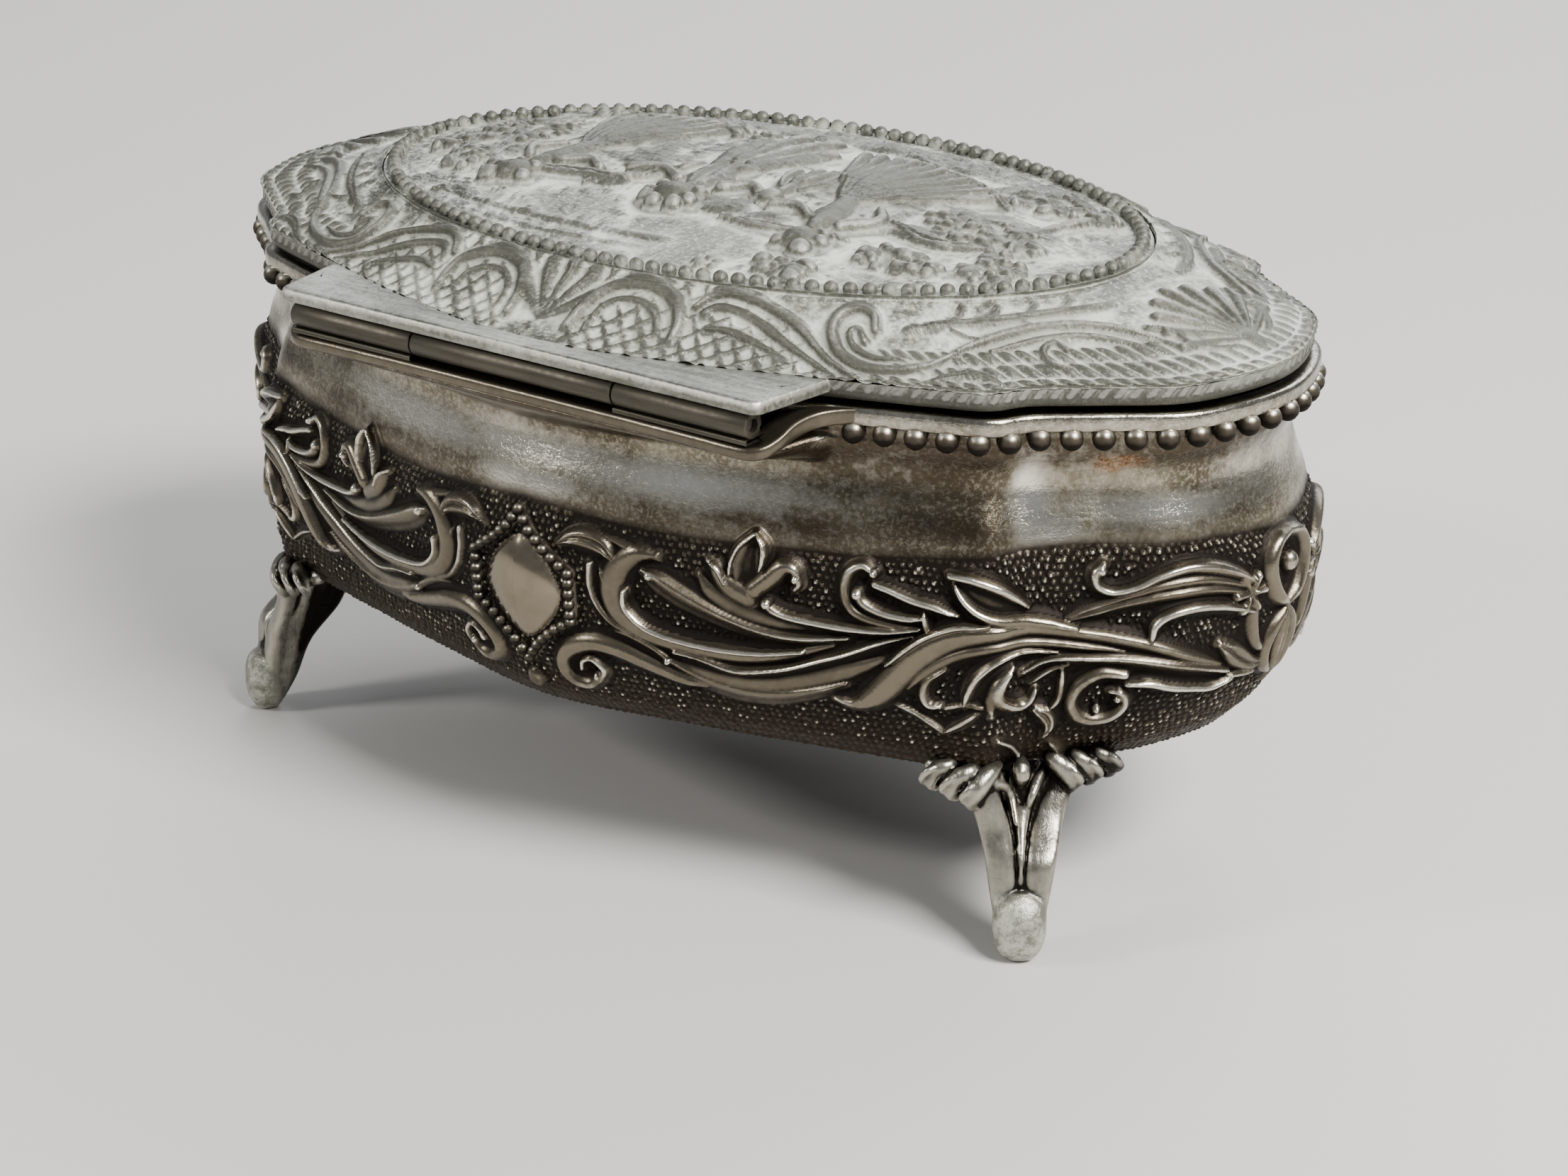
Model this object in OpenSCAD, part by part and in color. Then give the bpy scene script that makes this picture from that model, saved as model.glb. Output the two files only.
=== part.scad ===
// Vanity trinket box: a footed oval casket of cast white metal with a bracket-cornered
// plan, a hinged domed lid and a velvet lining. Millimetres, +Z up, X along the long
// axis, hinge on the +Y side. The origin is the middle of the footprint on the table.

/* [Plan outline] */
// Half length of the lid edge
lid_half_l = 44; // [38:0.5:52]
// Half width of the lid edge
lid_half_w = 26.8; // [24:0.2:32]
// Points along each spline stretch of the outline
outline_steps = 3; // [2:1:4]

/* [Body] */
// Height of the flat underside above the table
base_z = 12.9; // [10:0.1:16]
// Height of the body's rim
rim_z = 38.45; // [34:0.05:42]
// Thickness of the cast wall
wall_t = 1.8; // [1.4:0.1:2.2]
// Thickness of the cast floor
floor_t = 1.8; // [1.4:0.1:2.4]

/* [Lid] */
// Gap between the body's rim and the lid's edge
lid_gap = 0.35; // [0.3:0.05:0.6]
// Thickness of the lid's outer edge
lid_edge_t = 1.1; // [1:0.05:1.4]
// Rise of the lid from its edge to the beaded ring
lid_rise = 3.95; // [3:0.05:5]
// Rise of the lid inside the beaded ring
crown_rise = 1.5; // [0.5:0.1:2]
// How far the thumb lip stands out at the front
lip_out = 1.5; // [1:0.1:2.5]

/* [Hinge] */
// Length of the whole hinge barrel
barrel_l = 40; // [32:1:40]
// Outer radius of the barrel
barrel_r = 0.95; // [0.9:0.01:0.95]
// Radius of the hinge pin
pin_r = 0.42; // [0.35:0.01:0.5]
// Radial clearance of the pin in the barrel
pin_gap = 0.04; // [0.02:0.01:0.08]
// Length of the centre knuckle, which belongs to the lid
centre_l = 17.6; // [14:0.2:20]
// Straight back edge of the hinge plate and ledge, from the middle of the box
hinge_back_y = 28.3; // [28.1:0.05:28.35]

/* [Legs] */
// Distance of the two hinge-side toes from the middle, along X
toe_x = 35.3; // [30:0.1:38]
// Distance of the two hinge-side toes from the middle, along Y
toe_y = 17.5; // [14:0.1:20]
// Distance of the front toe from the middle, along Y
front_toe_y = 25; // [22:0.5:26]
// Radius of the toe
toe_r = 1.8; // [1.4:0.1:2.2]
// How far the top of a leg stands in from its toe
leg_splay = 1.9; // [1:0.1:3]
// Turn of the two hinge-side legs from straight back towards the ends, in degrees
leg_turn = 35; // [20:1:50]

/* [Lining] */
// Thickness of the card under the floor pad and in the lid
card_t = 0.6; // [0.4:0.1:1]
// Thickness of the velvet on the walls
velvet_t = 0.9; // [0.6:0.1:1.2]
// Height of the floor pad at its middle
pad_h = 3.2; // [2:0.1:5]

/* [Hidden] */
$fn = 48;
eps = 0.02;

silver = [0.62, 0.62, 0.60];
dark_silver = [0.42, 0.41, 0.39];
velvet_red = [0.36, 0.05, 0.08];
card_grey = [0.62, 0.58, 0.50];

// One quarter of the lid's outline, from the end of the box to the middle of its side:
// an end lobe, a recess, the bracket corner and a long side lobe
quarter_keys = [[44, 0], [41.8, 8], [37.2, 12.3], [33.6, 15.2], [32, 17.6],
                [29.2, 18.9], [21.4, 21.6], [12.3, 24.6], [0, 26.8]];
corner_key = 4;
last_key = len(quarter_keys) - 1;

// Body levels from the underside to the rim: height, half length, half width and how
// far the corner swells over the legs, as a share of its distance from the middle
body_levels = [[base_z, 39.9, 24.3, 0.085], [13.3, 40.6, 24.9, 0.08],
               [15.5, 42.5, 25.9, 0.05], [18.2, 43.7, 26.7, 0.025],
               [21, 44.4, 27.1, 0.01], [24, 44.7, 27.3, 0], [27, 44.6, 27.2, 0],
               [30.2, 43.9, 26.5, 0], [32, 43.1, 25.8, 0], [33.3, 42.7, 25.4, 0],
               [34.6, 43, 25.7, 0], [35.8, 43.9, 26.6, 0],
               [36, 44.6, 27.2, 0], [38.1, 44.6, 27.2, 0], [rim_z, 44.3, 26.9, 0]];
ledge_z = 36;
ledge_t = 0.9;
flange = [44.6, 27.2];

// The rim and the lid's lower edge are cut straight behind the hinge barrel
straight_y = 25.7;
rim_wall_t = 1.4;

// The hinge axis
axis_y = 27.28;
axis_z = 38.16;
bore_r = pin_r + pin_gap;
knuckle_gap = 0.15;
hinge_half_l = 21;
plate_z = axis_z + barrel_r + 0.1;
plate_top_z = 40.15;
leaf_t = 0.35;
leaf_back_y = 28.05;

// Flat of each toe, and how far it stands under the rounded part
foot_r = 1.2;
foot_cut = 0.25;

lid_z = rim_z + lid_gap;
lid_top_z = lid_z + lid_edge_t;
ring_z = lid_top_z + lid_rise;
lid_wall = 1.3;
lip_half_w = 5;

floor_z = base_z + floor_t;
lining_gap = 0.06;
pad_z = floor_z + card_t + 2 * lining_gap;
lining_z = pad_z + 0.5;
lid_pad_top_z = lid_top_z + 0.15;

// ---- outlines and skins -------------------------------------------------------------

// All the outline's key points, anticlockwise, each with its distance in keys from the
// nearest bracket corner
function with_corner(keys) = [for (i = [0 : last_key]) [keys[i][0], keys[i][1], abs(i - corner_key)]];
function all_keys(q) = concat(
    q,
    [for (i = [last_key - 1 : -1 : 0]) [-q[i][0], q[i][1], q[i][2]]],
    [for (i = [1 : last_key]) [-q[i][0], -q[i][1], q[i][2]]],
    [for (i = [last_key - 1 : -1 : 1]) [q[i][0], -q[i][1], q[i][2]]]);
keys = all_keys(with_corner(quarter_keys));

// A point on a Catmull-Rom spline through four neighbouring points
function spline_point(a, b, c, d, t) =
    0.5 * ((2 * b) + (c - a) * t + (2 * a - 5 * b + 4 * c - d) * t * t
           + (3 * b - a - 3 * c + d) * t * t * t);

function swollen(key, swell) = [key[0], key[1]] * (1 + swell * max(0, 1 - key[2] / 3));
function key_at(i, swell) = swollen(keys[(i + len(keys)) % len(keys)], swell);

// The closed bracket outline, scaled to a half length a and a half width b
function outline(a, b, swell = 0) =
    [for (i = [0 : len(keys) - 1], s = [0 : outline_steps - 1])
        let (p = spline_point(key_at(i - 1, swell), key_at(i, swell), key_at(i + 1, swell),
                              key_at(i + 2, swell), s / outline_steps))
        [p[0] * a / 44, p[1] * b / 26.8]];

// The same points moved towards an ellipse: m is 0 for the outline and 1 for the ellipse
function rounded_outline(a, b, m) =
    [for (p = outline(a, b))
        let (t = atan2(p[1] / b, p[0] / a))
        [p[0] * (1 - m) + a * cos(t) * m, p[1] * (1 - m) + b * sin(t) * m]];

function cut_back(points, y_max) = [for (p = points) [p[0], min(p[1], y_max)]];
function with_lip(points, out) =
    [for (p = points) p[1] < 0 ? [p[0], p[1] - out * exp(-pow(p[0] / lip_half_w, 2) * 2)] : p];
function at_height(points, z) = [for (p = points) [p[0], p[1], z]];

// A closed skin through a list of rings with equal counts, capped at both ends
module skin(rings) {
    n = len(rings[0]);
    m = len(rings);
    sides = [for (r = [0 : m - 2], i = [0 : n - 1])
        [r * n + i, (r + 1) * n + i, (r + 1) * n + (i + 1) % n, r * n + (i + 1) % n]];
    first_cap = [for (i = [0 : n - 1]) i];
    last_cap = [for (i = [n - 1 : -1 : 0]) (m - 1) * n + i];
    polyhedron(points = [for (r = rings) each r], faces = concat(sides, [first_cap], [last_cap]),
               convexity = 6);
}

// A closed skin whose last ring joins its first, such as a lining
module tube_skin(rings) {
    n = len(rings[0]);
    m = len(rings);
    polyhedron(points = [for (r = rings) each r],
               faces = [for (r = [0 : m - 1], i = [0 : n - 1])
                   [r * n + i, ((r + 1) % m) * n + i, ((r + 1) % m) * n + (i + 1) % n,
                    r * n + (i + 1) % n]],
               convexity = 6);
}

// ---- body ---------------------------------------------------------------------------

function outer_ring(level) =
    let (points = outline(level[1], level[2], level[3]))
    at_height(level[0] >= ledge_z ? cut_back(points, straight_y) : points, level[0]);

function inner_ring(level, inset) =
    let (points = outline(level[1] - inset, level[2] - inset, level[3]))
    at_height(level[0] >= ledge_z ? cut_back(points, straight_y - inset + wall_t - rim_wall_t)
                                  : points, level[0]);

function inner_levels(low_z) = [for (level = body_levels) if (level[0] > low_z + 0.3) level];

// The level between two body levels at a given height
function level_at(z) =
    let (i = max([for (j = [0 : len(body_levels) - 2]) if (body_levels[j][0] <= z) j]),
         lo = body_levels[i], hi = body_levels[i + 1], t = (z - lo[0]) / (hi[0] - lo[0]))
    lo + (hi - lo) * t;

module body_shell() {
    inner = inner_levels(floor_z);
    color(silver)
    skin(concat([for (level = body_levels) outer_ring(level)],
                [for (i = [len(inner) - 1 : -1 : 0]) inner_ring(inner[i], wall_t)],
                [inner_ring(level_at(floor_z), wall_t)]));
}

// Plan of a straight-backed strip with rounded ends, which fills out the side lobe
// behind the hinge
module hinge_strip_plan() {
    corner_r = 0.8;
    depth = 10;
    translate([-hinge_half_l, hinge_back_y - depth]) square([2 * hinge_half_l, depth - corner_r]);
    translate([-hinge_half_l + corner_r, hinge_back_y - depth])
        square([2 * (hinge_half_l - corner_r), depth]);
    for (side = [-1, 1])
        translate([side * (hinge_half_l - corner_r), hinge_back_y - corner_r]) circle(r = corner_r);
}

module ledge_ramp_plan() {
    difference() {
        polygon([[hinge_half_l - 0.3, 18], [hinge_half_l - 0.3, 26.4], [22.6, 24.2], [25.4, 21.2],
                 [26, 18]]);
        polygon(outline(flange[0], flange[1]));
    }
}

module hinge_ledge() {
    color(silver)
    translate([0, 0, ledge_z]) {
        linear_extrude(ledge_t)
            difference() {
                hinge_strip_plan();
                polygon(cut_back(outline(flange[0], flange[1]), straight_y));
            }
        for (side = [0, 1])
            mirror([side, 0, 0]) linear_extrude(2) ledge_ramp_plan();
    }
}

// ---- legs ---------------------------------------------------------------------------

// One cast leg. It stands at its own origin with its face towards +X: a rounded toe,
// two ribs that part in a V, and a scroll wing on each side under the body.
module leg(top_in) {
    top_z = base_z - eps;
    knee_z = 11.2;
    wing = 6.6;
    difference() {
        union() {
            for (side = [-1, 1]) {
                hull() {
                    translate([0, 0, toe_r]) sphere(r = toe_r, $fn = 28);
                    translate([-top_in * 0.75, side * 2.1, knee_z - 1]) sphere(r = 1.35, $fn = 24);
                }
                hull() {
                    translate([-top_in * 0.75, side * 2.1, knee_z - 1]) sphere(r = 1.35, $fn = 24);
                    translate([-top_in * 1.2, side * wing, knee_z]) sphere(r = 1.5, $fn = 24);
                    translate([-top_in * 1.6, side * wing * 0.5, knee_z + 0.3]) sphere(r = 1.4, $fn = 24);
                }
            }
            translate([-top_in * 2.2, 0, top_z - 1.6]) cylinder(r = 4.2, h = 1.6);
        }
        translate([-20, -20, foot_cut - 10]) cube([40, 40, 10]);
        translate([-20, -20, top_z]) cube([40, 40, 10]);
    }
    cylinder(r = foot_r, h = 0.5);
}

module back_leg(side) {
    translate([side * toe_x, toe_y, 0]) rotate(90 - side * leg_turn) leg(leg_splay);
}

module leg_back_left() {
    color(dark_silver) back_leg(1);
}

module leg_back_right() {
    color(dark_silver) back_leg(-1);
}

module leg_front() {
    color(dark_silver) translate([0, -front_toe_y, 0]) rotate(-90) leg(leg_splay);
}

// ---- hinge --------------------------------------------------------------------------

// A round bar along the hinge axis
module barrel_bar(x_from, x_to, r) {
    translate([x_from, axis_y, axis_z]) rotate([0, 90, 0]) cylinder(r = r, h = x_to - x_from);
}

// A rolled knuckle whose leaf lies on the body's ledge
module body_knuckle(x_from, x_to) {
    leaf_z = ledge_z + ledge_t;
    difference() {
        union() {
            barrel_bar(x_from, x_to, barrel_r);
            translate([x_from, straight_y + 0.3, leaf_z])
                cube([x_to - x_from, leaf_back_y - straight_y - 0.3, leaf_t]);
            translate([x_from, axis_y - 0.45, leaf_z]) cube([x_to - x_from, 0.9, 0.8]);
        }
        barrel_bar(x_from - 1, x_to + 1, bore_r);
    }
}

module hinge_knuckle_left() {
    color(dark_silver) body_knuckle(centre_l / 2 + knuckle_gap, barrel_l / 2);
}

module hinge_knuckle_right() {
    color(dark_silver) body_knuckle(-barrel_l / 2, -centre_l / 2 - knuckle_gap);
}

module hinge_knuckle_centre() {
    color(dark_silver)
    difference() {
        union() {
            barrel_bar(-centre_l / 2, centre_l / 2, barrel_r);
            translate([-centre_l / 2, axis_y - 0.45, axis_z + 0.4])
                cube([centre_l, 0.9, plate_z - axis_z - 0.4]);
        }
        barrel_bar(-centre_l / 2 - 1, centre_l / 2 + 1, bore_r);
    }
}

module hinge_pin() {
    recess = 0.4;
    color(silver) barrel_bar(-barrel_l / 2 + recess, barrel_l / 2 - recess, pin_r);
}

// ---- lid ----------------------------------------------------------------------------

function lid_ring(z, a, b, m, out = 0) = at_height(with_lip(rounded_outline(a, b, m), out), z);
function lid_cut_ring(z, a, b) = at_height(cut_back(outline(a, b), straight_y), z);

module lid_shell() {
    l = lid_half_l;
    w = lid_half_w;
    color(silver)
    skin([// inside, from the crown down to the edge
          lid_ring(ring_z - lid_wall + crown_rise, 4, 2.6, 1),
          lid_ring(ring_z - lid_wall + crown_rise * 0.8, 14, 9, 1),
          lid_ring(ring_z - lid_wall + 0.2, 26, 16, 1),
          lid_ring(ring_z - lid_wall - 0.8, l - 12.5, w - 7, 1),
          lid_ring(ring_z - lid_wall - 2, l - 8, w - 4.6, 0.7),
          lid_ring(lid_top_z, l - 3.2, w - 3.2, 0),
          lid_ring(lid_z, l - 2.8, w - 2.8, 0),
          // outside, from the edge up to the crown
          lid_cut_ring(lid_z, l - 0.3, w - 0.3),
          lid_cut_ring(plate_z - eps, l, w),
          lid_ring(plate_z, l, w, 0, lip_out),
          lid_ring(lid_top_z, l, w, 0, lip_out),
          lid_ring(lid_top_z + 0.15, l - 0.5, w - 0.5, 0, lip_out * 0.8),
          lid_ring(lid_top_z + lid_rise * 0.3, l - 3.7, w - 2.4, 0.3),
          lid_ring(lid_top_z + lid_rise * 0.58, l - 7.3, w - 4.1, 0.7),
          lid_ring(lid_top_z + lid_rise * 0.82, l - 10.8, w - 5.7, 1),
          lid_ring(ring_z, l - 12.6, w - 6.5, 1),
          lid_ring(ring_z, l - 14.4, w - 8, 1),
          lid_ring(ring_z + crown_rise * 0.35, 24, 15, 1),
          lid_ring(ring_z + crown_rise * 0.8, 14, 9, 1),
          lid_ring(ring_z + crown_rise, 4, 2.6, 1)]);
}

module lid_hinge_plate() {
    color(silver)
    translate([0, 0, plate_z]) linear_extrude(plate_top_z - plate_z)
        difference() {
            hinge_strip_plan();
            polygon(outline(lid_half_l, lid_half_w));
        }
}

// ---- lining -------------------------------------------------------------------------

module floor_card() {
    level = level_at(floor_z + card_t);
    inset = wall_t + 0.9;
    color(card_grey)
    translate([0, 0, floor_z + lining_gap]) linear_extrude(card_t)
        polygon(outline(level[1] - inset, level[2] - inset));
}

// A cushion that is flat underneath, with rounded edges and a low crown
module floor_pad() {
    level = level_at(pad_z + 1);
    a = level[1] - wall_t - velvet_t - 0.6;
    b = level[2] - wall_t - velvet_t - 0.6;
    color(velvet_red)
    skin([for (r = [[0, -1.8], [0.4, -0.8], [1.2, -0.3], [1.9, -0.9], [pad_h * 0.82, -3],
                    [pad_h * 0.95, -9], [pad_h, -16]])
        at_height(outline(a + r[1], b + r[1]), pad_z + r[0])]);
}

module wall_lining() {
    top = rim_z - 1.2;
    levels = concat([level_at(lining_z)],
                    [for (level = inner_levels(lining_z)) if (level[0] < top - 0.2) level],
                    [level_at(top)]);
    out = wall_t + lining_gap;
    color(velvet_red)
    tube_skin(concat([for (level = levels) inner_ring(level, out)],
                     [for (i = [len(levels) - 1 : -1 : 0]) inner_ring(levels[i], out + velvet_t)]));
}

module lid_card() {
    color(card_grey)
    translate([0, 0, lid_pad_top_z + lining_gap]) linear_extrude(card_t)
        polygon(rounded_outline(lid_half_l - 9.8, lid_half_w - 6.2, 0.8));
}

module lid_pad() {
    color(velvet_red)
    skin([for (r = [[-2, -15], [-1.9, -9], [-1.6, -3.5], [-1.1, -1.2], [-0.6, -0.4], [-0.2, -0.8],
                    [0, -1.6]])
        at_height(outline(lid_half_l - 3.9 + r[1], lid_half_w - 3.9 + r[1]), lid_pad_top_z + r[0])]);
}

// ---- assembly -----------------------------------------------------------------------

body_shell();
hinge_ledge();
leg_back_left();
leg_back_right();
leg_front();
hinge_knuckle_left();
hinge_knuckle_right();
hinge_pin();
floor_card();
floor_pad();
wall_lining();
lid_shell();
lid_hinge_plate();
hinge_knuckle_centre();
lid_card();
lid_pad();
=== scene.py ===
"""Looks of the vanity trinket box: a footed casket of cast white metal with relief
scrollwork, a dusty relief lid and a velvet lining. Shapes are worked out in millimetres
in the part's frame (+Z up, X along the box, hinge side +Y) and scaled when meshes are made."""

import math

import bpy
import numpy as np
from mathutils import Matrix, Vector


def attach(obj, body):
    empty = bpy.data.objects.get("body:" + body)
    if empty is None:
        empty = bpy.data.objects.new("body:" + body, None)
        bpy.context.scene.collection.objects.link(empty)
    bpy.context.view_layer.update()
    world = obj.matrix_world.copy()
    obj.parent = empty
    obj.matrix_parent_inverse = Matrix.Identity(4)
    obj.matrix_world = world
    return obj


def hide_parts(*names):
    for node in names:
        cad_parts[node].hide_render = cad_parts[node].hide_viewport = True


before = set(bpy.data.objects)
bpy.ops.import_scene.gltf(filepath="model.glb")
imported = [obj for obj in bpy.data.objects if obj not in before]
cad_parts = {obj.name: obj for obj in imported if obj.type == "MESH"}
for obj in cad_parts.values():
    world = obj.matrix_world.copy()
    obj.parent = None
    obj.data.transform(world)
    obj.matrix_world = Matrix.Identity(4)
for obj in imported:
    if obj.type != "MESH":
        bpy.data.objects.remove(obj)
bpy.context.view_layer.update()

MM = 0.001
rng = np.random.default_rng(11)

# ---- the box's plan and levels, as in part.scad ---------------------------------------

LID_HALF = (44.0, 26.8)
QUARTER_KEYS = [(44, 0), (41.8, 8), (37.2, 12.3), (33.6, 15.2), (32, 17.6), (29.2, 18.9),
                (21.4, 21.6), (12.3, 24.6), (0, 26.8)]
CORNER_KEY = 4
KEY_COUNT = 32

# Height, half length, half width and corner swell
BODY_LEVELS = np.array([
    (12.9, 39.9, 24.3, 0.085), (13.3, 40.6, 24.9, 0.08), (15.5, 42.5, 25.9, 0.05),
    (18.2, 43.7, 26.7, 0.025), (21, 44.4, 27.1, 0.01), (24, 44.7, 27.3, 0),
    (27, 44.6, 27.2, 0), (30.2, 43.9, 26.5, 0), (32, 43.1, 25.8, 0), (33.3, 42.7, 25.4, 0),
    (34.6, 43, 25.7, 0), (35.8, 43.9, 26.6, 0)])
BASE_Z = 12.9
FLOOR_Z = 14.7
WALL_T = 1.8
STRAIGHT_Y = 25.7
LID_Z = 38.8
LID_TOP_Z = 39.9
RING_Z = 43.85
CROWN_RISE = 1.5
RING_HALF = (30.6, 19.5)
HINGE_Y = 27.28
HINGE_Z = 38.16
HINGE_GAP = 22.6  # half the length behind, without beads and rope moulding


def between(p, t):
    """The smooth curve from p[1] to p[2] at shares t, for four points in a row."""
    return 0.5 * (2 * p[1] + (p[2] - p[0]) * t + (2 * p[0] - 5 * p[1] + 4 * p[2] - p[3]) * t**2
                  + (3 * p[1] - p[0] - 3 * p[2] + p[3]) * t**3)


def unit(x):
    """Values held from 0 to 1."""
    return np.clip(x, 0, 1)


def circle(count):
    """Angles spaced evenly once round."""
    return np.linspace(0, 2 * math.pi, count, endpoint=False)


def outline_keys(swell):
    """The closed outline's 32 key points, anticlockwise from the +X end."""
    quarter = [np.array(p, float) * (1 + swell * max(0, 1 - abs(i - CORNER_KEY) / 3))
               for i, p in enumerate(QUARTER_KEYS)]
    left = [p * (-1, 1) for p in quarter[-2::-1]]
    front = [p * (-1, -1) for p in quarter[1:]]
    right = [p * (1, -1) for p in quarter[-2:0:-1]]
    return np.array(quarter + left + front + right)


def outline_at(f, a, b, swell=0.0):
    """Points of the outline at spline parameters f, for a half length and half width."""
    keys = outline_keys(swell)
    i = np.floor(f).astype(int)
    t = (f - i)[..., None]
    point = between([keys[(i + k) % KEY_COUNT] for k in (-1, 0, 1, 2)], t)
    return point * (a / LID_HALF[0], b / LID_HALF[1])


def along(points):
    """Distance along a polyline at each of its points."""
    return np.r_[0, np.cumsum(np.linalg.norm(np.diff(points, axis=0), axis=1))]


fine_f = np.linspace(0, KEY_COUNT, 8001)
belly_arc = along(outline_at(fine_f, 44.7, 27.3))
QUARTER_ARC = belly_arc[-1] / 4


def param_at(s):
    """The spline parameter at distance s along the belly from the back middle towards -X."""
    return np.interp((s + QUARTER_ARC) % belly_arc[-1], belly_arc, fine_f)


def body_level(z):
    """Half length, half width and swell at heights z, with the levels' corners rounded."""
    softening = np.linspace(-0.9, 0.9, 13)
    z = np.asarray(z, float)
    return [np.mean([np.interp(z + o, BODY_LEVELS[:, 0], BODY_LEVELS[:, k]) for o in softening],
                    axis=0) for k in (1, 2, 3)]


# ---- relief painting ------------------------------------------------------------------

def spline(points, step=0.12):
    """A smooth open curve through rows of a place and, if more than two wide, a size."""
    p = np.array(points, float)
    place = max(2, p.shape[1] - 1)
    p = np.vstack([2 * p[0] - p[1], p, 2 * p[-1] - p[-2]])
    rows = []
    for i in range(1, len(p) - 2):
        n = max(2, int(np.linalg.norm((p[i + 1] - p[i])[:place]) / step))
        rows.append(between(p[i - 1:i + 3], (np.arange(n) / n)[:, None]))
    return np.vstack(rows + [p[-2:-1]])


def section(x, kind):
    """Height of a stroke's cross-section at x, from -1 to 1 across it."""
    dome = unit(1 - x * x) ** 0.7
    if kind == "ridge":
        return unit(1 - np.abs(x) ** 1.4)
    if kind == "leaf":
        return dome * (1 - 0.4 * np.exp(-(x / 0.2) ** 2))
    if kind == "cup":
        return unit(dome * 1.6) * (0.35 + 0.65 * np.abs(x) ** 1.6)
    return dome


class Relief:
    """A height field in millimetres over scattered points of a surface."""

    def __init__(self, u, v):
        self.u, self.v = u, v
        self.h = np.zeros(u.shape)

    def window(self, low, high):
        """The points between two corners."""
        return np.nonzero((self.u > low[0]) & (self.u < high[0])
                          & (self.v > low[1]) & (self.v < high[1]))

    def stroke(self, points, width, height, kind="dome", lean=0.0, add=False):
        """Raises a swept stroke. width holds half widths for the points; lean moves the
        crest to the left (+) or right (-) of the stroke's direction."""
        width = np.broadcast_to(np.asarray(width, float), (len(points),))
        rows = np.array([(p[0], p[1], w) for p, w in zip(points, width)])
        c = spline(rows)
        reach = c[:, 2].max() + 0.05
        where = self.window(c[:, :2].min(0) - reach, c[:, :2].max(0) + reach)
        if not len(where[0]):
            return
        p = np.stack([self.u[where], self.v[where]], 1)
        tangent = np.gradient(c[:, :2], axis=0)
        tangent /= np.linalg.norm(tangent, axis=1)[:, None] + 1e-9
        best = np.full(len(p), np.inf)
        near = np.zeros(len(p), int)
        for k in range(len(c)):
            d = (p[:, 0] - c[k, 0]) ** 2 + (p[:, 1] - c[k, 1]) ** 2
            closer = d < best
            best[closer] = d[closer]
            near[closer] = k
        off = p - c[near, :2]
        t = tangent[near]
        side = t[:, 0] * off[:, 1] - t[:, 1] * off[:, 0]
        half = np.maximum(c[near, 2], 1e-3)
        x = np.sign(side) * np.sqrt(best) / half
        x = np.where(x > lean, (x - lean) / (1 - lean), (x - lean) / (1 + lean))
        h = height * section(np.clip(x, -1, 1), kind) * np.minimum(1, half / width.max() + 0.35)
        self.h[where] = self.h[where] + h if add else np.maximum(self.h[where], h)

    def ball(self, centre, radius, height, squeeze=1.0):
        """Raises a dome; squeeze is its size across v as a share of its size across u."""
        where = self.window((centre[0] - radius, centre[1] - radius * squeeze),
                            (centre[0] + radius, centre[1] + radius * squeeze))
        x = (self.u[where] - centre[0]) / radius
        y = (self.v[where] - centre[1]) / (radius * squeeze)
        self.h[where] = np.maximum(self.h[where], height * np.sqrt(unit(1 - x * x - y * y)))

    def dots(self, pitch, radius, height, mask, seed):
        """Adds a jittered field of small domes where mask is above 0."""
        jitter = np.random.default_rng(seed).uniform(-0.2, 0.2, (64, 64, 2)) * pitch
        size = np.random.default_rng(seed + 1).uniform(0.7, 1.1, (64, 64))
        row_h = pitch * 0.87
        row = np.round(self.v / row_h).astype(int)
        top = np.zeros(self.u.shape)
        for dr in (-1, 0, 1):
            r = row + dr
            shift = (r % 2) * pitch / 2
            col = np.round((self.u - shift) / pitch).astype(int)
            for dc in (-1, 0, 1):
                c = col + dc
                j = jitter[r % 64, c % 64]
                share = size[r % 64, c % 64]
                du = self.u - (c * pitch + shift + j[..., 0])
                dv = self.v - (r * row_h + j[..., 1])
                q = (du * du + dv * dv) / (radius * share) ** 2
                top = np.maximum(top, share * np.sqrt(unit(1 - q)))
        self.h += height * top * mask
        return top * mask


def flat_values(shape, relief, cavity=0.0):
    """Material values of a plain piece."""
    return {"relief": np.full(shape, relief), "cavity": np.full(shape, cavity)}


def blurred(h, n, passes=2):
    """A running mean of a grid over 2n + 1 cells both ways."""
    for _ in range(passes):
        for axis in (0, 1):
            pad = [(n + 1, n) if k == axis else (0, 0) for k in (0, 1)]
            total = np.cumsum(np.pad(h, pad, mode="edge"), axis=axis)
            ahead = np.take(total, np.arange(2 * n + 1, total.shape[axis]), axis=axis)
            behind = np.take(total, np.arange(0, total.shape[axis] - 2 * n - 1), axis=axis)
            h = (ahead - behind) / (2 * n + 1)
    return h


# ---- meshes ---------------------------------------------------------------------------

def grid_normals(p, axis):
    """Unit normals of a grid of points, on the side that looks towards + along an axis."""
    n = np.cross(np.gradient(p, axis=1), np.gradient(p, axis=0))
    n /= np.linalg.norm(n, axis=2)[..., None] + 1e-12
    return n if n[len(n) // 2, 0, axis] > 0 else -n


def linked(name, data):
    """A new object in the scene."""
    obj = bpy.data.objects.new(name, data)
    bpy.context.scene.collection.objects.link(obj)
    return obj


def applied(obj):
    """A mesh of an object as its modifiers leave it."""
    return bpy.data.meshes.new_from_object(obj.evaluated_get(
        bpy.context.evaluated_depsgraph_get()))


def places(mesh):
    """The vertices of a mesh as an array."""
    co = np.zeros(len(mesh.vertices) * 3)
    mesh.vertices.foreach_get("co", co)
    return co.reshape(-1, 3)


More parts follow.
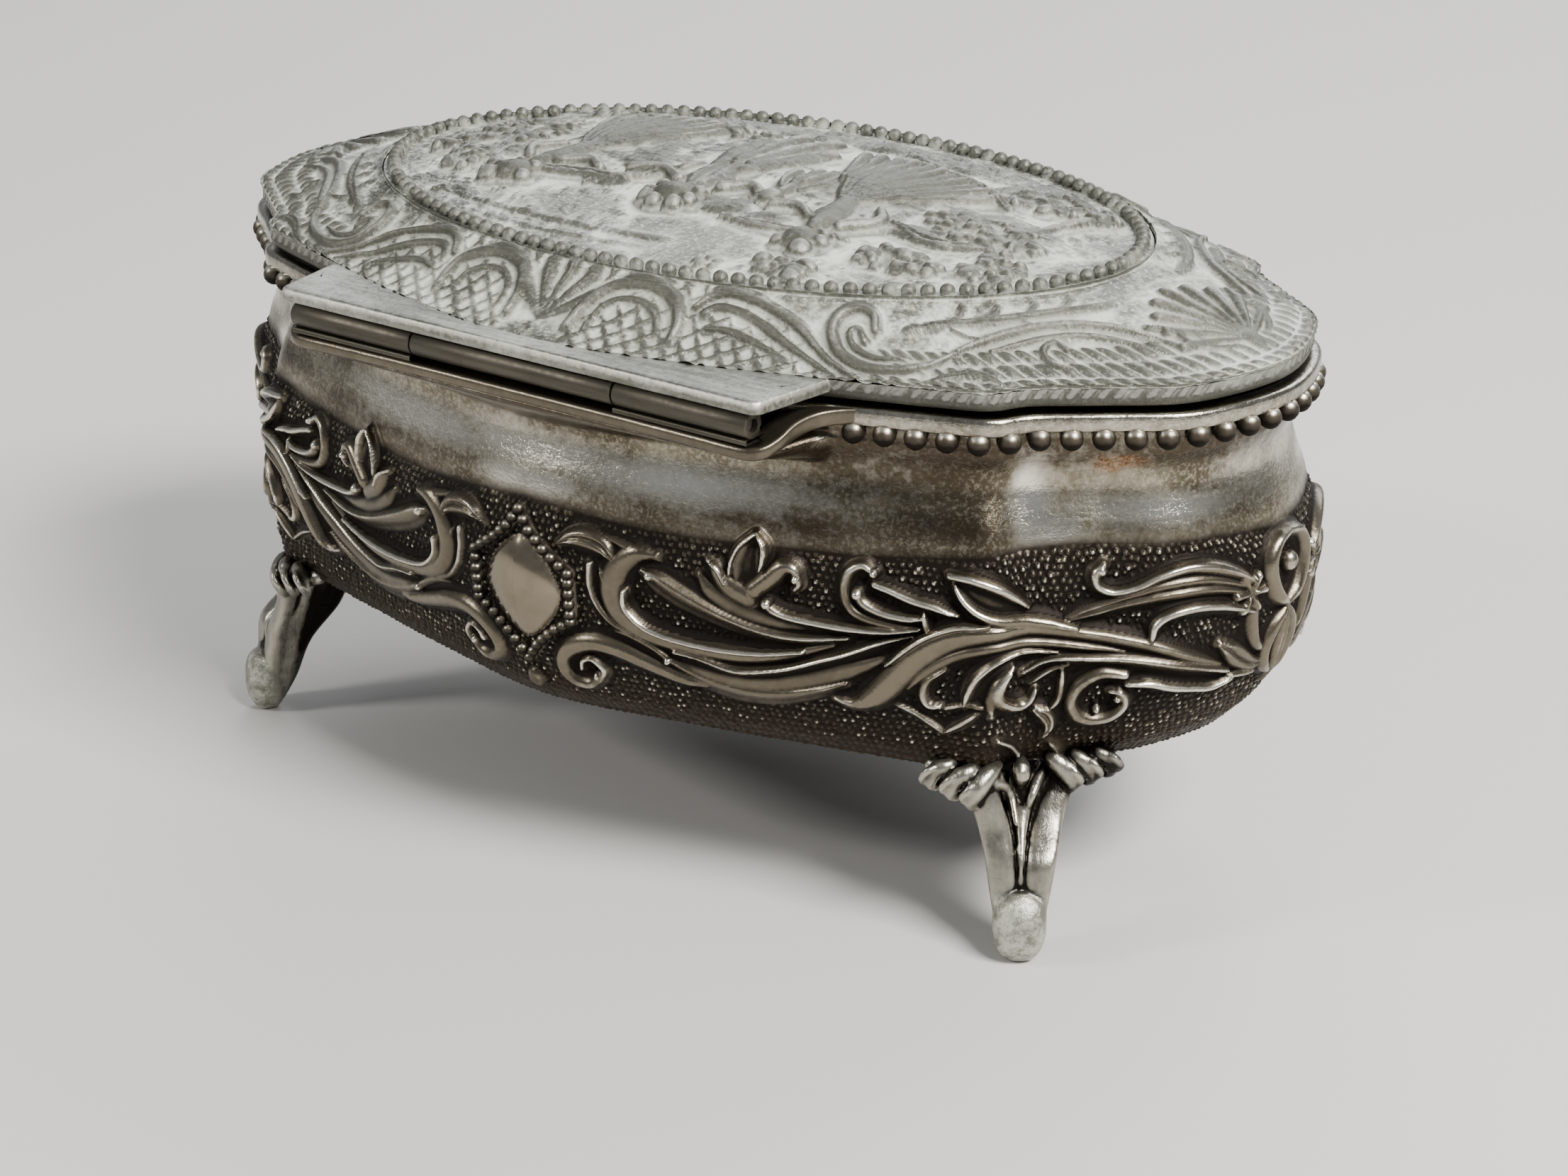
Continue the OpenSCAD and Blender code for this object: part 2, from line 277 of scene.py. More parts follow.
def mesh_piece(name, points, faces, body, attributes=None, normals=None):
    """A mesh object from millimetre points and a face array, riding on a body."""
    mesh = bpy.data.meshes.new(name)
    faces = np.asarray(faces, np.int32)
    side = faces.shape[1]
    mesh.vertices.add(len(points))
    mesh.vertices.foreach_set("co", (np.asarray(points, float) * MM).ravel())
    mesh.loops.add(faces.size)
    mesh.loops.foreach_set("vertex_index", faces.ravel())
    mesh.polygons.add(len(faces))
    mesh.polygons.foreach_set("loop_start", np.arange(0, faces.size, side, dtype=np.int32))
    mesh.update(calc_edges=True)
    mesh.validate()
    mesh.polygons.foreach_set("use_smooth", np.full(len(mesh.polygons), True))
    for key, values in (attributes or {}).items():
        mesh.attributes.new(key, "FLOAT", "POINT").data.foreach_set(
            "value", np.asarray(values, np.float32).ravel())
    if normals is not None:
        mesh.normals_split_custom_set_from_vertices(np.asarray(normals, float))
    mesh.update()
    obj = linked(name, mesh)
    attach(obj, body)
    return obj


def grid_faces(rows, cols, closed, flip=False):
    """Quads between the rows and columns of a grid; closed joins its last column to its first."""
    i, j = np.meshgrid(np.arange(rows - 1), np.arange(cols if closed else cols - 1), indexing="ij")
    k = (j + 1) % cols
    quad = np.stack([i * cols + j, i * cols + k, (i + 1) * cols + k, (i + 1) * cols + j], -1)
    quad = quad.reshape(-1, 4)
    return quad[:, ::-1] if flip else quad


def grid_piece(name, p, body, attributes, flip=False, closed=False, normals=None):
    """A grid of points (rows, columns, 3) as one smooth piece."""
    rows, cols = p.shape[:2]
    n = None if normals is None else normals.reshape(-1, 3)
    return mesh_piece(name, p.reshape(-1, 3), grid_faces(rows, cols, closed, flip), body,
                      attributes, n)


def ball_points():
    """A unit ball as points and quads."""
    rings, around = 9, 14
    t = np.linspace(0.02, math.pi - 0.02, rings)
    a = circle(around)
    p = np.stack([np.outer(np.sin(t), np.cos(a)), np.outer(np.sin(t), np.sin(a)),
                  np.outer(np.cos(t), np.ones(around))], -1)
    return p.reshape(-1, 3), grid_faces(rings, around, closed=True, flip=True)


def bead_piece(name, centres, radius, body, dusty=False):
    """Many small balls as one piece, with a painted highlight on their tops and, unless dusty, painted
    shade under them. radius may be one number or one for each ball.
    """
    unit, quads = ball_points()
    centres = np.asarray(centres, float)
    radius = np.broadcast_to(np.asarray(radius, float), (len(centres),))
    points = (centres[:, None] + unit[None] * radius[:, None, None]).reshape(-1, 3)
    faces = (quads[None] + (np.arange(len(centres)) * len(unit))[:, None, None]).reshape(-1, 4)
    # up runs from 0 under a ball to 1 on top: it paints the highlight on the top and the shade underneath
    up = np.tile(0.5 + 0.5 * unit[:, 2], len(centres))
    values = {"relief": 0.75 + 0.25 * up, "cavity": 0.8 * (1 - up), "crest": up**0.9}
    # dusty balls: a fainter painted highlight on top, and dust round their feet
    if dusty:
        values = {"relief": 0.55 * up, "cavity": 0.3 * (1 - up), "crest": 0.5 * up**2}
    return mesh_piece(name, points, faces, body, values)


def evenly(points, pitch, closed=False):
    """Points spaced evenly along a polyline."""
    if closed:
        points = np.vstack([points, points[:1]])
    d = along(points)
    n = max(2, int(round(d[-1] / pitch)) + (0 if closed else 1))
    at = np.linspace(0, d[-1], n, endpoint=not closed)
    return np.stack([np.interp(at, d, points[:, k]) for k in range(points.shape[1])], 1)


def outwards(line):
    """Unit normals of a closed level line of points, pointing out of it."""
    t = np.roll(line, -1, 0) - np.roll(line, 1, 0)
    n = np.column_stack([t[:, 1], -t[:, 0], 0 * t[:, 0]])
    return n / np.linalg.norm(n, axis=1)[:, None]


def capped(rings, around):
    """Faces of a closed skin over rings of points, with a flat face at each end."""
    faces = [tuple(f) for f in grid_faces(rings, around, closed=True)]
    return faces + [tuple(range(around))[::-1], tuple(range((rings - 1) * around, rings * around))]


def tube(rows):
    """A closed round tube through (x, y, z, radius) rows, with domed ends."""
    around = 14
    dome = np.array([1.5, 1.1, 0.7, 0.35])
    c = spline(rows, 0.3)
    t = np.gradient(c[:, :3], axis=0)
    t /= np.linalg.norm(t, axis=1)[:, None]
    side = np.cross(t[0], (0.31, 0.17, 0.93))
    points = []
    angle = circle(around)[:, None]
    rings = [(c[0, :3] - t[0] * c[0, 3] * math.sin(a), c[0, 3] * math.cos(a), t[0]) for a in dome]
    rings += [(row[:3], row[3], d) for row, d in zip(c, t)]
    rings += [(c[-1, :3] + t[-1] * c[-1, 3] * math.sin(a), c[-1, 3] * math.cos(a), t[-1])
              for a in dome[::-1]]
    for centre, radius, d in rings:
        side = side - d * side.dot(d)
        side /= np.linalg.norm(side)
        points.append(centre + radius * (np.cos(angle) * side + np.sin(angle) * np.cross(d, side)))
    return np.vstack(points), capped(len(rings), around)


def fused(parts, voxel):
    """Overlapping closed shapes fused into one skin: its points and faces."""
    points, faces, start = [], [], 0
    for p, f in parts:
        points.append(p)
        faces += [tuple(int(i) + start for i in face) for face in f]
        start += len(p)
    mesh = bpy.data.meshes.new("fused")
    mesh.from_pydata([tuple(v) for v in np.vstack(points) * MM], [], faces)
    obj = linked("fused", mesh)
    remesh = obj.modifiers.new("remesh", "REMESH")
    remesh.mode = "VOXEL"
    remesh.voxel_size = voxel * MM
    smooth = obj.modifiers.new("smooth", "SMOOTH")
    smooth.iterations = 2
    made = applied(obj)
    corners = np.zeros(len(made.loops), np.int32)
    made.loops.foreach_get("vertex_index", corners)
    bpy.data.objects.remove(obj)
    return places(made) / MM, corners.reshape(-1, 4)


def hollow_values(points, quads):
    """Relief and cavity values of any mesh of quads, from how its surface curves."""
    edges = np.vstack([quads[:, [k, (k + 1) % 4]] for k in range(4)])
    normal = np.zeros_like(points)
    face_n = np.cross(points[quads[:, 2]] - points[quads[:, 0]],
                      points[quads[:, 3]] - points[quads[:, 1]])
    for k in range(4):
        np.add.at(normal, quads[:, k], face_n)
    normal /= np.linalg.norm(normal, axis=1)[:, None] + 1e-12
    count = np.maximum(np.bincount(edges[:, 0], minlength=len(points)), 1)[:, None]

    def mean_of(values):
        total = np.zeros_like(values)
        np.add.at(total, edges[:, 0], values[edges[:, 1]])
        return total / count

    far = points
    for _ in range(12):
        far = mean_of(far)
    bend = np.sum((far - points) * normal, axis=1)[:, None]
    for _ in range(2):
        bend = mean_of(bend)
    bend = bend[:, 0]
    return {"relief": unit(0.5 - bend * 4), "cavity": unit(bend * 6)}


# ---- materials ------------------------------------------------------------------------

class Graph:
    """A small helper that builds a material's nodes."""

    def __init__(self, name):
        self.material = bpy.data.materials.new(name)
        self.material.use_nodes = True
        self.tree = self.material.node_tree
        self.shader = self.tree.nodes["Principled BSDF"]

    def node(self, kind, **inputs):
        """A new node. Its inputs are named with underscores for spaces."""
        made = self.tree.nodes.new("ShaderNode" + kind)
        for key, value in inputs.items():
            self.put(made.inputs[key.replace("_", " ")], value)
        return made

    def put(self, socket, value):
        """Links a socket, or gives it a value."""
        if isinstance(value, bpy.types.NodeSocket):
            self.tree.links.new(value, socket)
        else:
            socket.default_value = value

    def math(self, operation, a, b, clamp=False):
        made = self.node("Math")
        made.operation = operation
        made.use_clamp = clamp
        self.put(made.inputs[0], a)
        self.put(made.inputs[1], b)
        return made.outputs[0]

    def sum(self, *terms, clamp=True):
        """The sum of (socket, factor) pairs and plain numbers."""
        total = None
        for term in terms:
            value = self.math("MULTIPLY", *term) if isinstance(term, tuple) else term
            total = value if total is None else self.math("ADD", total, value)
        return self.math("ADD", total, 0.0, clamp) if clamp else total

    def ramp(self, factor, low, high, out_low=0.0, out_high=1.0):
        """A soft step of factor between low and high."""
        made = self.node("MapRange", Value=factor, From_Min=low, From_Max=high, To_Min=out_low,
                         To_Max=out_high)
        made.interpolation_type = "SMOOTHSTEP"
        return made.outputs[0]

    def mix(self, factor, a, b):
        made = self.node("Mix", Factor=factor)
        made.data_type = "RGBA"
        self.put(made.inputs[6], a)
        self.put(made.inputs[7], b)
        return made.outputs[2]

    def over(self, tone, mask, share, color):
        """A tone with a color laid over it by a share of a mask."""
        return self.mix(self.math("MULTIPLY", mask, share), tone, color)

    def place(self, scale):
        """Object coordinates in millimetres, stretched by scale."""
        where = self.node("TexCoord").outputs["Object"]
        made = self.node("VectorMath")
        made.operation = "MULTIPLY"
        self.put(made.inputs[0], where)
        self.put(made.inputs[1], [k / MM for k in scale])
        return made.outputs[0]

    def noise(self, scale, detail, stretch=(1, 1, 1), roughness=0.6, distortion=0.0):
        made = self.node("TexNoise", Scale=scale, Detail=detail, Roughness=roughness,
                         Distortion=distortion)
        self.put(made.inputs["Vector"], self.place(stretch))
        return made.outputs["Fac"]

    def attribute(self, name):
        """A value that the mesh holds at its points."""
        made = self.node("Attribute")
        made.attribute_name = name
        return made.outputs["Fac"]

    def attributes(self, *names):
        return [self.attribute(name) for name in names]

    def bump(self, height, distance, strength):
        made = self.node("Bump", Strength=strength, Distance=distance * MM, Height=height)
        return made.outputs["Normal"]

    def finish(self, color, metallic, roughness, **more):
        inputs = {"Base_Color": color, "Metallic": metallic, "Roughness": roughness, **more}
        for key, value in inputs.items():
            self.put(self.shader.inputs[key.replace("_", " ")], value)
        return self.material


def rgb(r, g, b):
    return (r, g, b, 1.0)


def aged_silver():
    """Worn silver plate over white metal: bright crests, brown-black recesses. The attribute
    plain is 1 on the smooth neck, which has kept more of its plate, and smooth is 1 on the
    polished pillow of the cartouche."""
    g = Graph("aged_silver")
    relief, cavity, crest, plain, pillow = g.attributes("relief", "cavity", "crest", "plain", "smooth")
    cloud, fine, speck = g.noise(0.12, 5), g.noise(1.4, 6), g.noise(5.5, 3)
    grain = g.noise(3.3, 4, roughness=0.7)
    scratch = g.noise(1.1, 5, (0.2, 0.2, 2.0))
    # this mix carries wear, and also the painted shade that the cavity value holds under the beads
    wear_and_shade = g.sum((relief, 0.85), (cavity, -1.7), (cloud, 0.7), (fine, 0.5), -0.44)
    tone = g.mix(wear_and_shade, rgb(0.009, 0.006, 0.004), rgb(0.18, 0.155, 0.115))
    # darkening that mixes tarnishing with painted shade and painted dark reflections
    tone = g.over(tone, g.attribute("tarnish_and_shade"), 0.85, rgb(0.022, 0.014, 0.008))
    smooth = g.mix(g.ramp(cloud, 0.35, 0.7), rgb(0.105, 0.088, 0.058), rgb(0.26, 0.235, 0.17))
    smooth = g.mix(g.ramp(grain, 0.48, 0.64, 0.0, 0.5), smooth, rgb(0.56, 0.51, 0.41))
    smooth = g.mix(g.ramp(grain, 0.44, 0.34, 0.0, 0.35), smooth, rgb(0.06, 0.048, 0.034))
    # dark marks on the neck: tarnishing mixed with painted shade and painted dark reflections
    dark = g.sum((g.attribute("tarnish_and_shade"), 1.1), (fine, 0.6), -0.3)
    smooth = g.over(smooth, dark, 0.85, rgb(0.045, 0.034, 0.024))
    crust = g.noise(0.9, 7, roughness=0.75)
    stain = g.ramp(g.sum((g.attribute("copper"), 0.75), (crust, 1.0), clamp=False), 0.78, 1.15)
    rust = g.mix(g.ramp(speck, 0.4, 0.6), rgb(0.13, 0.06, 0.03), rgb(0.34, 0.20, 0.11))
    smooth = g.over(smooth, stain, 0.75, rust)
    # painted highlight: bright patches on the neck, which are also made smoother below
    smooth = g.mix(g.sum((g.attribute("polish_and_highlight"), 1.0), (fine, 0.7), (cloud, 0.5), -0.62), smooth,
                   rgb(0.88, 0.84, 0.74))
    tone = g.mix(plain, tone, smooth)
    tone = g.mix(pillow, tone, g.mix(g.ramp(cloud, 0.35, 0.65), rgb(0.15, 0.125, 0.09),
                                     rgb(0.24, 0.205, 0.155)))
    bright = g.ramp(g.sum((crest, 1.1), (fine, 0.5), (cavity, -1.0), clamp=False), 0.75, 1.25)
    tone = g.over(tone, bright, 0.9, rgb(0.68, 0.64, 0.55))
    rough = g.sum((wear_and_shade, -0.25), (cavity, 0.3), (scratch, 0.16), (speck, 0.08),
                  (g.attribute("polish_and_highlight"), -0.2), (plain, -0.13), (pillow, -0.12), 0.36)
    height = g.sum((fine, 0.6), (scratch, 0.4), (g.math("MULTIPLY", grain, plain), 0.9),
                   (speck, 0.3), clamp=False)
    height = g.math("MULTIPLY", height, g.sum((pillow, -0.85), 1.0))
    return g.finish(tone, g.sum((wear_and_shade, 0.2), (plain, 0.2), 0.8), rough, Normal=g.bump(height, 0.06, 0.6))


def dusty_silver():
    """Dull oxidised plate: pale dust on the open ground, dark where it is raised and abraded; its tight
    crevices, and the lid's side band and underside, are darkened as painted shade, and its edge ticks and
    bead tops get a painted glint."""
    g = Graph("dusty_silver")
    relief, cavity, crest, crevice_shade = g.attributes("relief", "cavity", "crest", "crevice_shade")
    cloud, fine, speck = g.noise(0.1, 5), g.noise(1.2, 6), g.noise(3.2, 5, roughness=0.7)
    brush = g.noise(0.8, 5, (1.6, 0.25, 1))
    raised = g.sum((relief, 1.5), (crest, 0.4), (fine, 0.9), (speck, 0.7), -0.95)
    drift = g.noise(0.32, 6, (1.0, 0.45, 1), roughness=0.65, distortion=0.5)
    ground = g.mix(g.ramp(cloud, 0.35, 0.65), rgb(0.12, 0.122, 0.100), rgb(0.21, 0.214, 0.178))
    ground = g.mix(g.ramp(brush, 0.38, 0.62, 0.0, 0.6), ground, rgb(0.10, 0.101, 0.087))
    ground = g.mix(g.ramp(speck, 0.52, 0.66, 0.0, 0.7), ground, rgb(0.55, 0.565, 0.495))
    dust = g.sum((cavity, 2.0), (relief, -0.7), (g.ramp(drift, 0.42, 0.66), 0.75), (fine, 0.9),
                 (speck, 0.7), -0.9)
    tone = g.over(ground, dust, 0.9, rgb(0.64, 0.66, 0.58))
    tone = g.over(tone, raised, 0.86, rgb(0.105, 0.104, 0.084))
    # painted shade in tight crevices and on the lid's side band and underside
    dark = g.sum((crevice_shade, 1.0), (speck, 0.4), -0.3)
    tone = g.over(tone, dark, 0.75, rgb(0.045, 0.044, 0.036))
    # bright on abraded crests, and a painted glint on the edge ticks and the ring's bead tops
    rubbed_and_glint = g.ramp(g.sum((crest, 1.0), (speck, 0.8), clamp=False), 0.85, 1.3)
    tone = g.over(tone, rubbed_and_glint, 0.55, rgb(0.40, 0.40, 0.36))
    rough = g.sum((dust, 0.35), (raised, 0.08), (fine, 0.2), 0.32)
    metal = g.sum((dust, -0.75), (raised, 0.15), 0.62)
    height = g.sum((fine, 0.5), (speck, 0.8), (brush, 0.3), clamp=False)
    return g.finish(tone, metal, rough, Normal=g.bump(height, 0.09, 0.9))


def plate_silver():
    """The dusty, faintly brushed plate over the hinge, with a bare bevelled edge."""
    g = Graph("plate_silver")
    relief = g.attribute("relief")
    brush, fine = g.noise(0.9, 6, (0.18, 1.6, 1), roughness=0.7), g.noise(1.8, 6)
    cloud, speck = g.noise(0.14, 5), g.noise(2.4, 6, roughness=0.75)
    tone = g.mix(g.ramp(brush, 0.34, 0.66), rgb(0.15, 0.15, 0.125), rgb(0.30, 0.305, 0.265))
    tone = g.mix(g.ramp(speck, 0.5, 0.36, 0.0, 0.6), tone, rgb(0.11, 0.108, 0.088))
    dust = g.sum((g.ramp(cloud, 0.35, 0.65), 0.5), (speck, 1.1), (relief, -0.5), -0.32)
    tone = g.over(tone, dust, 0.8, rgb(0.55, 0.565, 0.505))
    tone = g.mix(g.ramp(g.sum((relief, 1.0), (fine, 0.5), clamp=False), 1.0, 1.3), tone,
                 rgb(0.62, 0.61, 0.54))
    rough = g.sum((dust, 0.25), (fine, 0.2), 0.28)
    height = g.sum((brush, 0.35), (fine, 0.5), (speck, 0.8), clamp=False)
    return g.finish(tone, g.sum((dust, -0.6), 0.95), rough, Normal=g.bump(height, 0.08, 0.9))


def leg_silver():
    """The brighter casting of the legs, with a pale crust on their toes."""
    g = Graph("leg_silver")
    relief, cavity, pale = g.attributes("relief", "cavity", "pale")
    cloud, fine, speck = g.noise(0.35, 5), g.noise(1.6, 6), g.noise(3.5, 4)
    streak = g.noise(1.0, 5, (2.2, 2.2, 0.3))
    # this mix carries wear, and also the painted shade that the cavity value holds on the legs' backs
    wear_and_shade = g.sum((relief, 1.2), (cavity, -2.6), (cloud, 0.8), (fine, 0.5), (streak, 0.5), -0.96)
    tone = g.mix(wear_and_shade, rgb(0.010, 0.008, 0.006), rgb(0.42, 0.395, 0.335))
    crust = g.mix(g.ramp(g.noise(0.9, 7, roughness=0.75), 0.38, 0.62), rgb(0.15, 0.155, 0.12),
                  rgb(0.56, 0.57, 0.49))
    tone = g.over(tone, pale, 0.8, crust)
    rough = g.sum((fine, 0.2), (pale, 0.1), 0.2)
    metal = g.sum((wear_and_shade, 0.1), (pale, -0.3), 0.88)
    height = g.sum((fine, 0.5), (streak, 0.7), (g.math("MULTIPLY", speck, pale), 1.2), clamp=False)
    return g.finish(tone, metal, rough, Normal=g.bump(height, 0.1, 0.8))


def hinge_metal():
    g = Graph("hinge_metal")
    streak, fine = g.noise(1.2, 5, (0.12, 1.5, 1.5)), g.noise(2.5, 5)
    tone = g.mix(streak, rgb(0.022, 0.019, 0.014), rgb(0.13, 0.118, 0.094))
    rough = g.sum((fine, 0.3), 0.32)
    height = g.sum((streak, 0.7), (fine, 0.3), clamp=False)
    return g.finish(tone, 0.92, rough, Normal=g.bump(height, 0.04, 0.6))


def pin_steel():
    g = Graph("pin_steel")
    fine = g.noise(3.0, 4)
    tone = g.mix(fine, rgb(0.12, 0.11, 0.10), rgb(0.30, 0.28, 0.26))
    return g.finish(tone, 0.95, g.sum((fine, 0.25), 0.3), Normal=g.bump(fine, 0.02, 0.5))


def card_board():
    g = Graph("card")
    fibre, spot = g.noise(0.9, 6, (0.5, 2.5, 1)), g.noise(0.15, 4)
    tone = g.mix(fibre, rgb(0.36, 0.31, 0.23), rgb(0.55, 0.49, 0.38))
    tone = g.over(tone, spot, 0.4, rgb(0.25, 0.20, 0.14))
    return g.finish(tone, 0.0, 0.9, Normal=g.bump(fibre, 0.06, 0.6))


def velvet():
    """Old crushed velvet: a dark pile with a pale sheen where it is pressed."""
    g = Graph("velvet")
    pile, crush = g.noise(5.0, 3), g.noise(0.3, 6, roughness=0.65)
    tone = g.mix(crush, rgb(0.050, 0.003, 0.008), rgb(0.13, 0.009, 0.02))
    tone = g.over(tone, pile, 0.3, rgb(0.19, 0.02, 0.035))
    # painted shade in the valleys between the padded channels of the wall lining
    tone = g.over(tone, g.attribute("cavity"), 0.8, rgb(0.03, 0.002, 0.005))
    height = g.sum((pile, 1.0), (crush, 0.6), clamp=False)
    return g.finish(tone, 0.0, 0.85, Normal=g.bump(height, 0.12, 0.7), Sheen_Weight=0.35,
                    Sheen_Roughness=0.35, Sheen_Tint=rgb(0.75, 0.30, 0.34))


MATERIALS = {"aged_silver": aged_silver(), "dusty_silver": dusty_silver(),
             "plate_silver": plate_silver(), "leg_silver": leg_silver(),
             "hinge_metal": hinge_metal(), "pin_steel": pin_steel(), "card": card_board(),
             "velvet": velvet()}


def finish_piece(obj, look, *nodes):
    """Gives a piece its material and slot, and lets it stand for CAD nodes."""
    obj.data.materials.clear()
    obj.data.materials.append(MATERIALS[look])
    if nodes:
        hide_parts(*nodes)
    return obj


# ---- body wall with its scrollwork ----------------------------------------------------

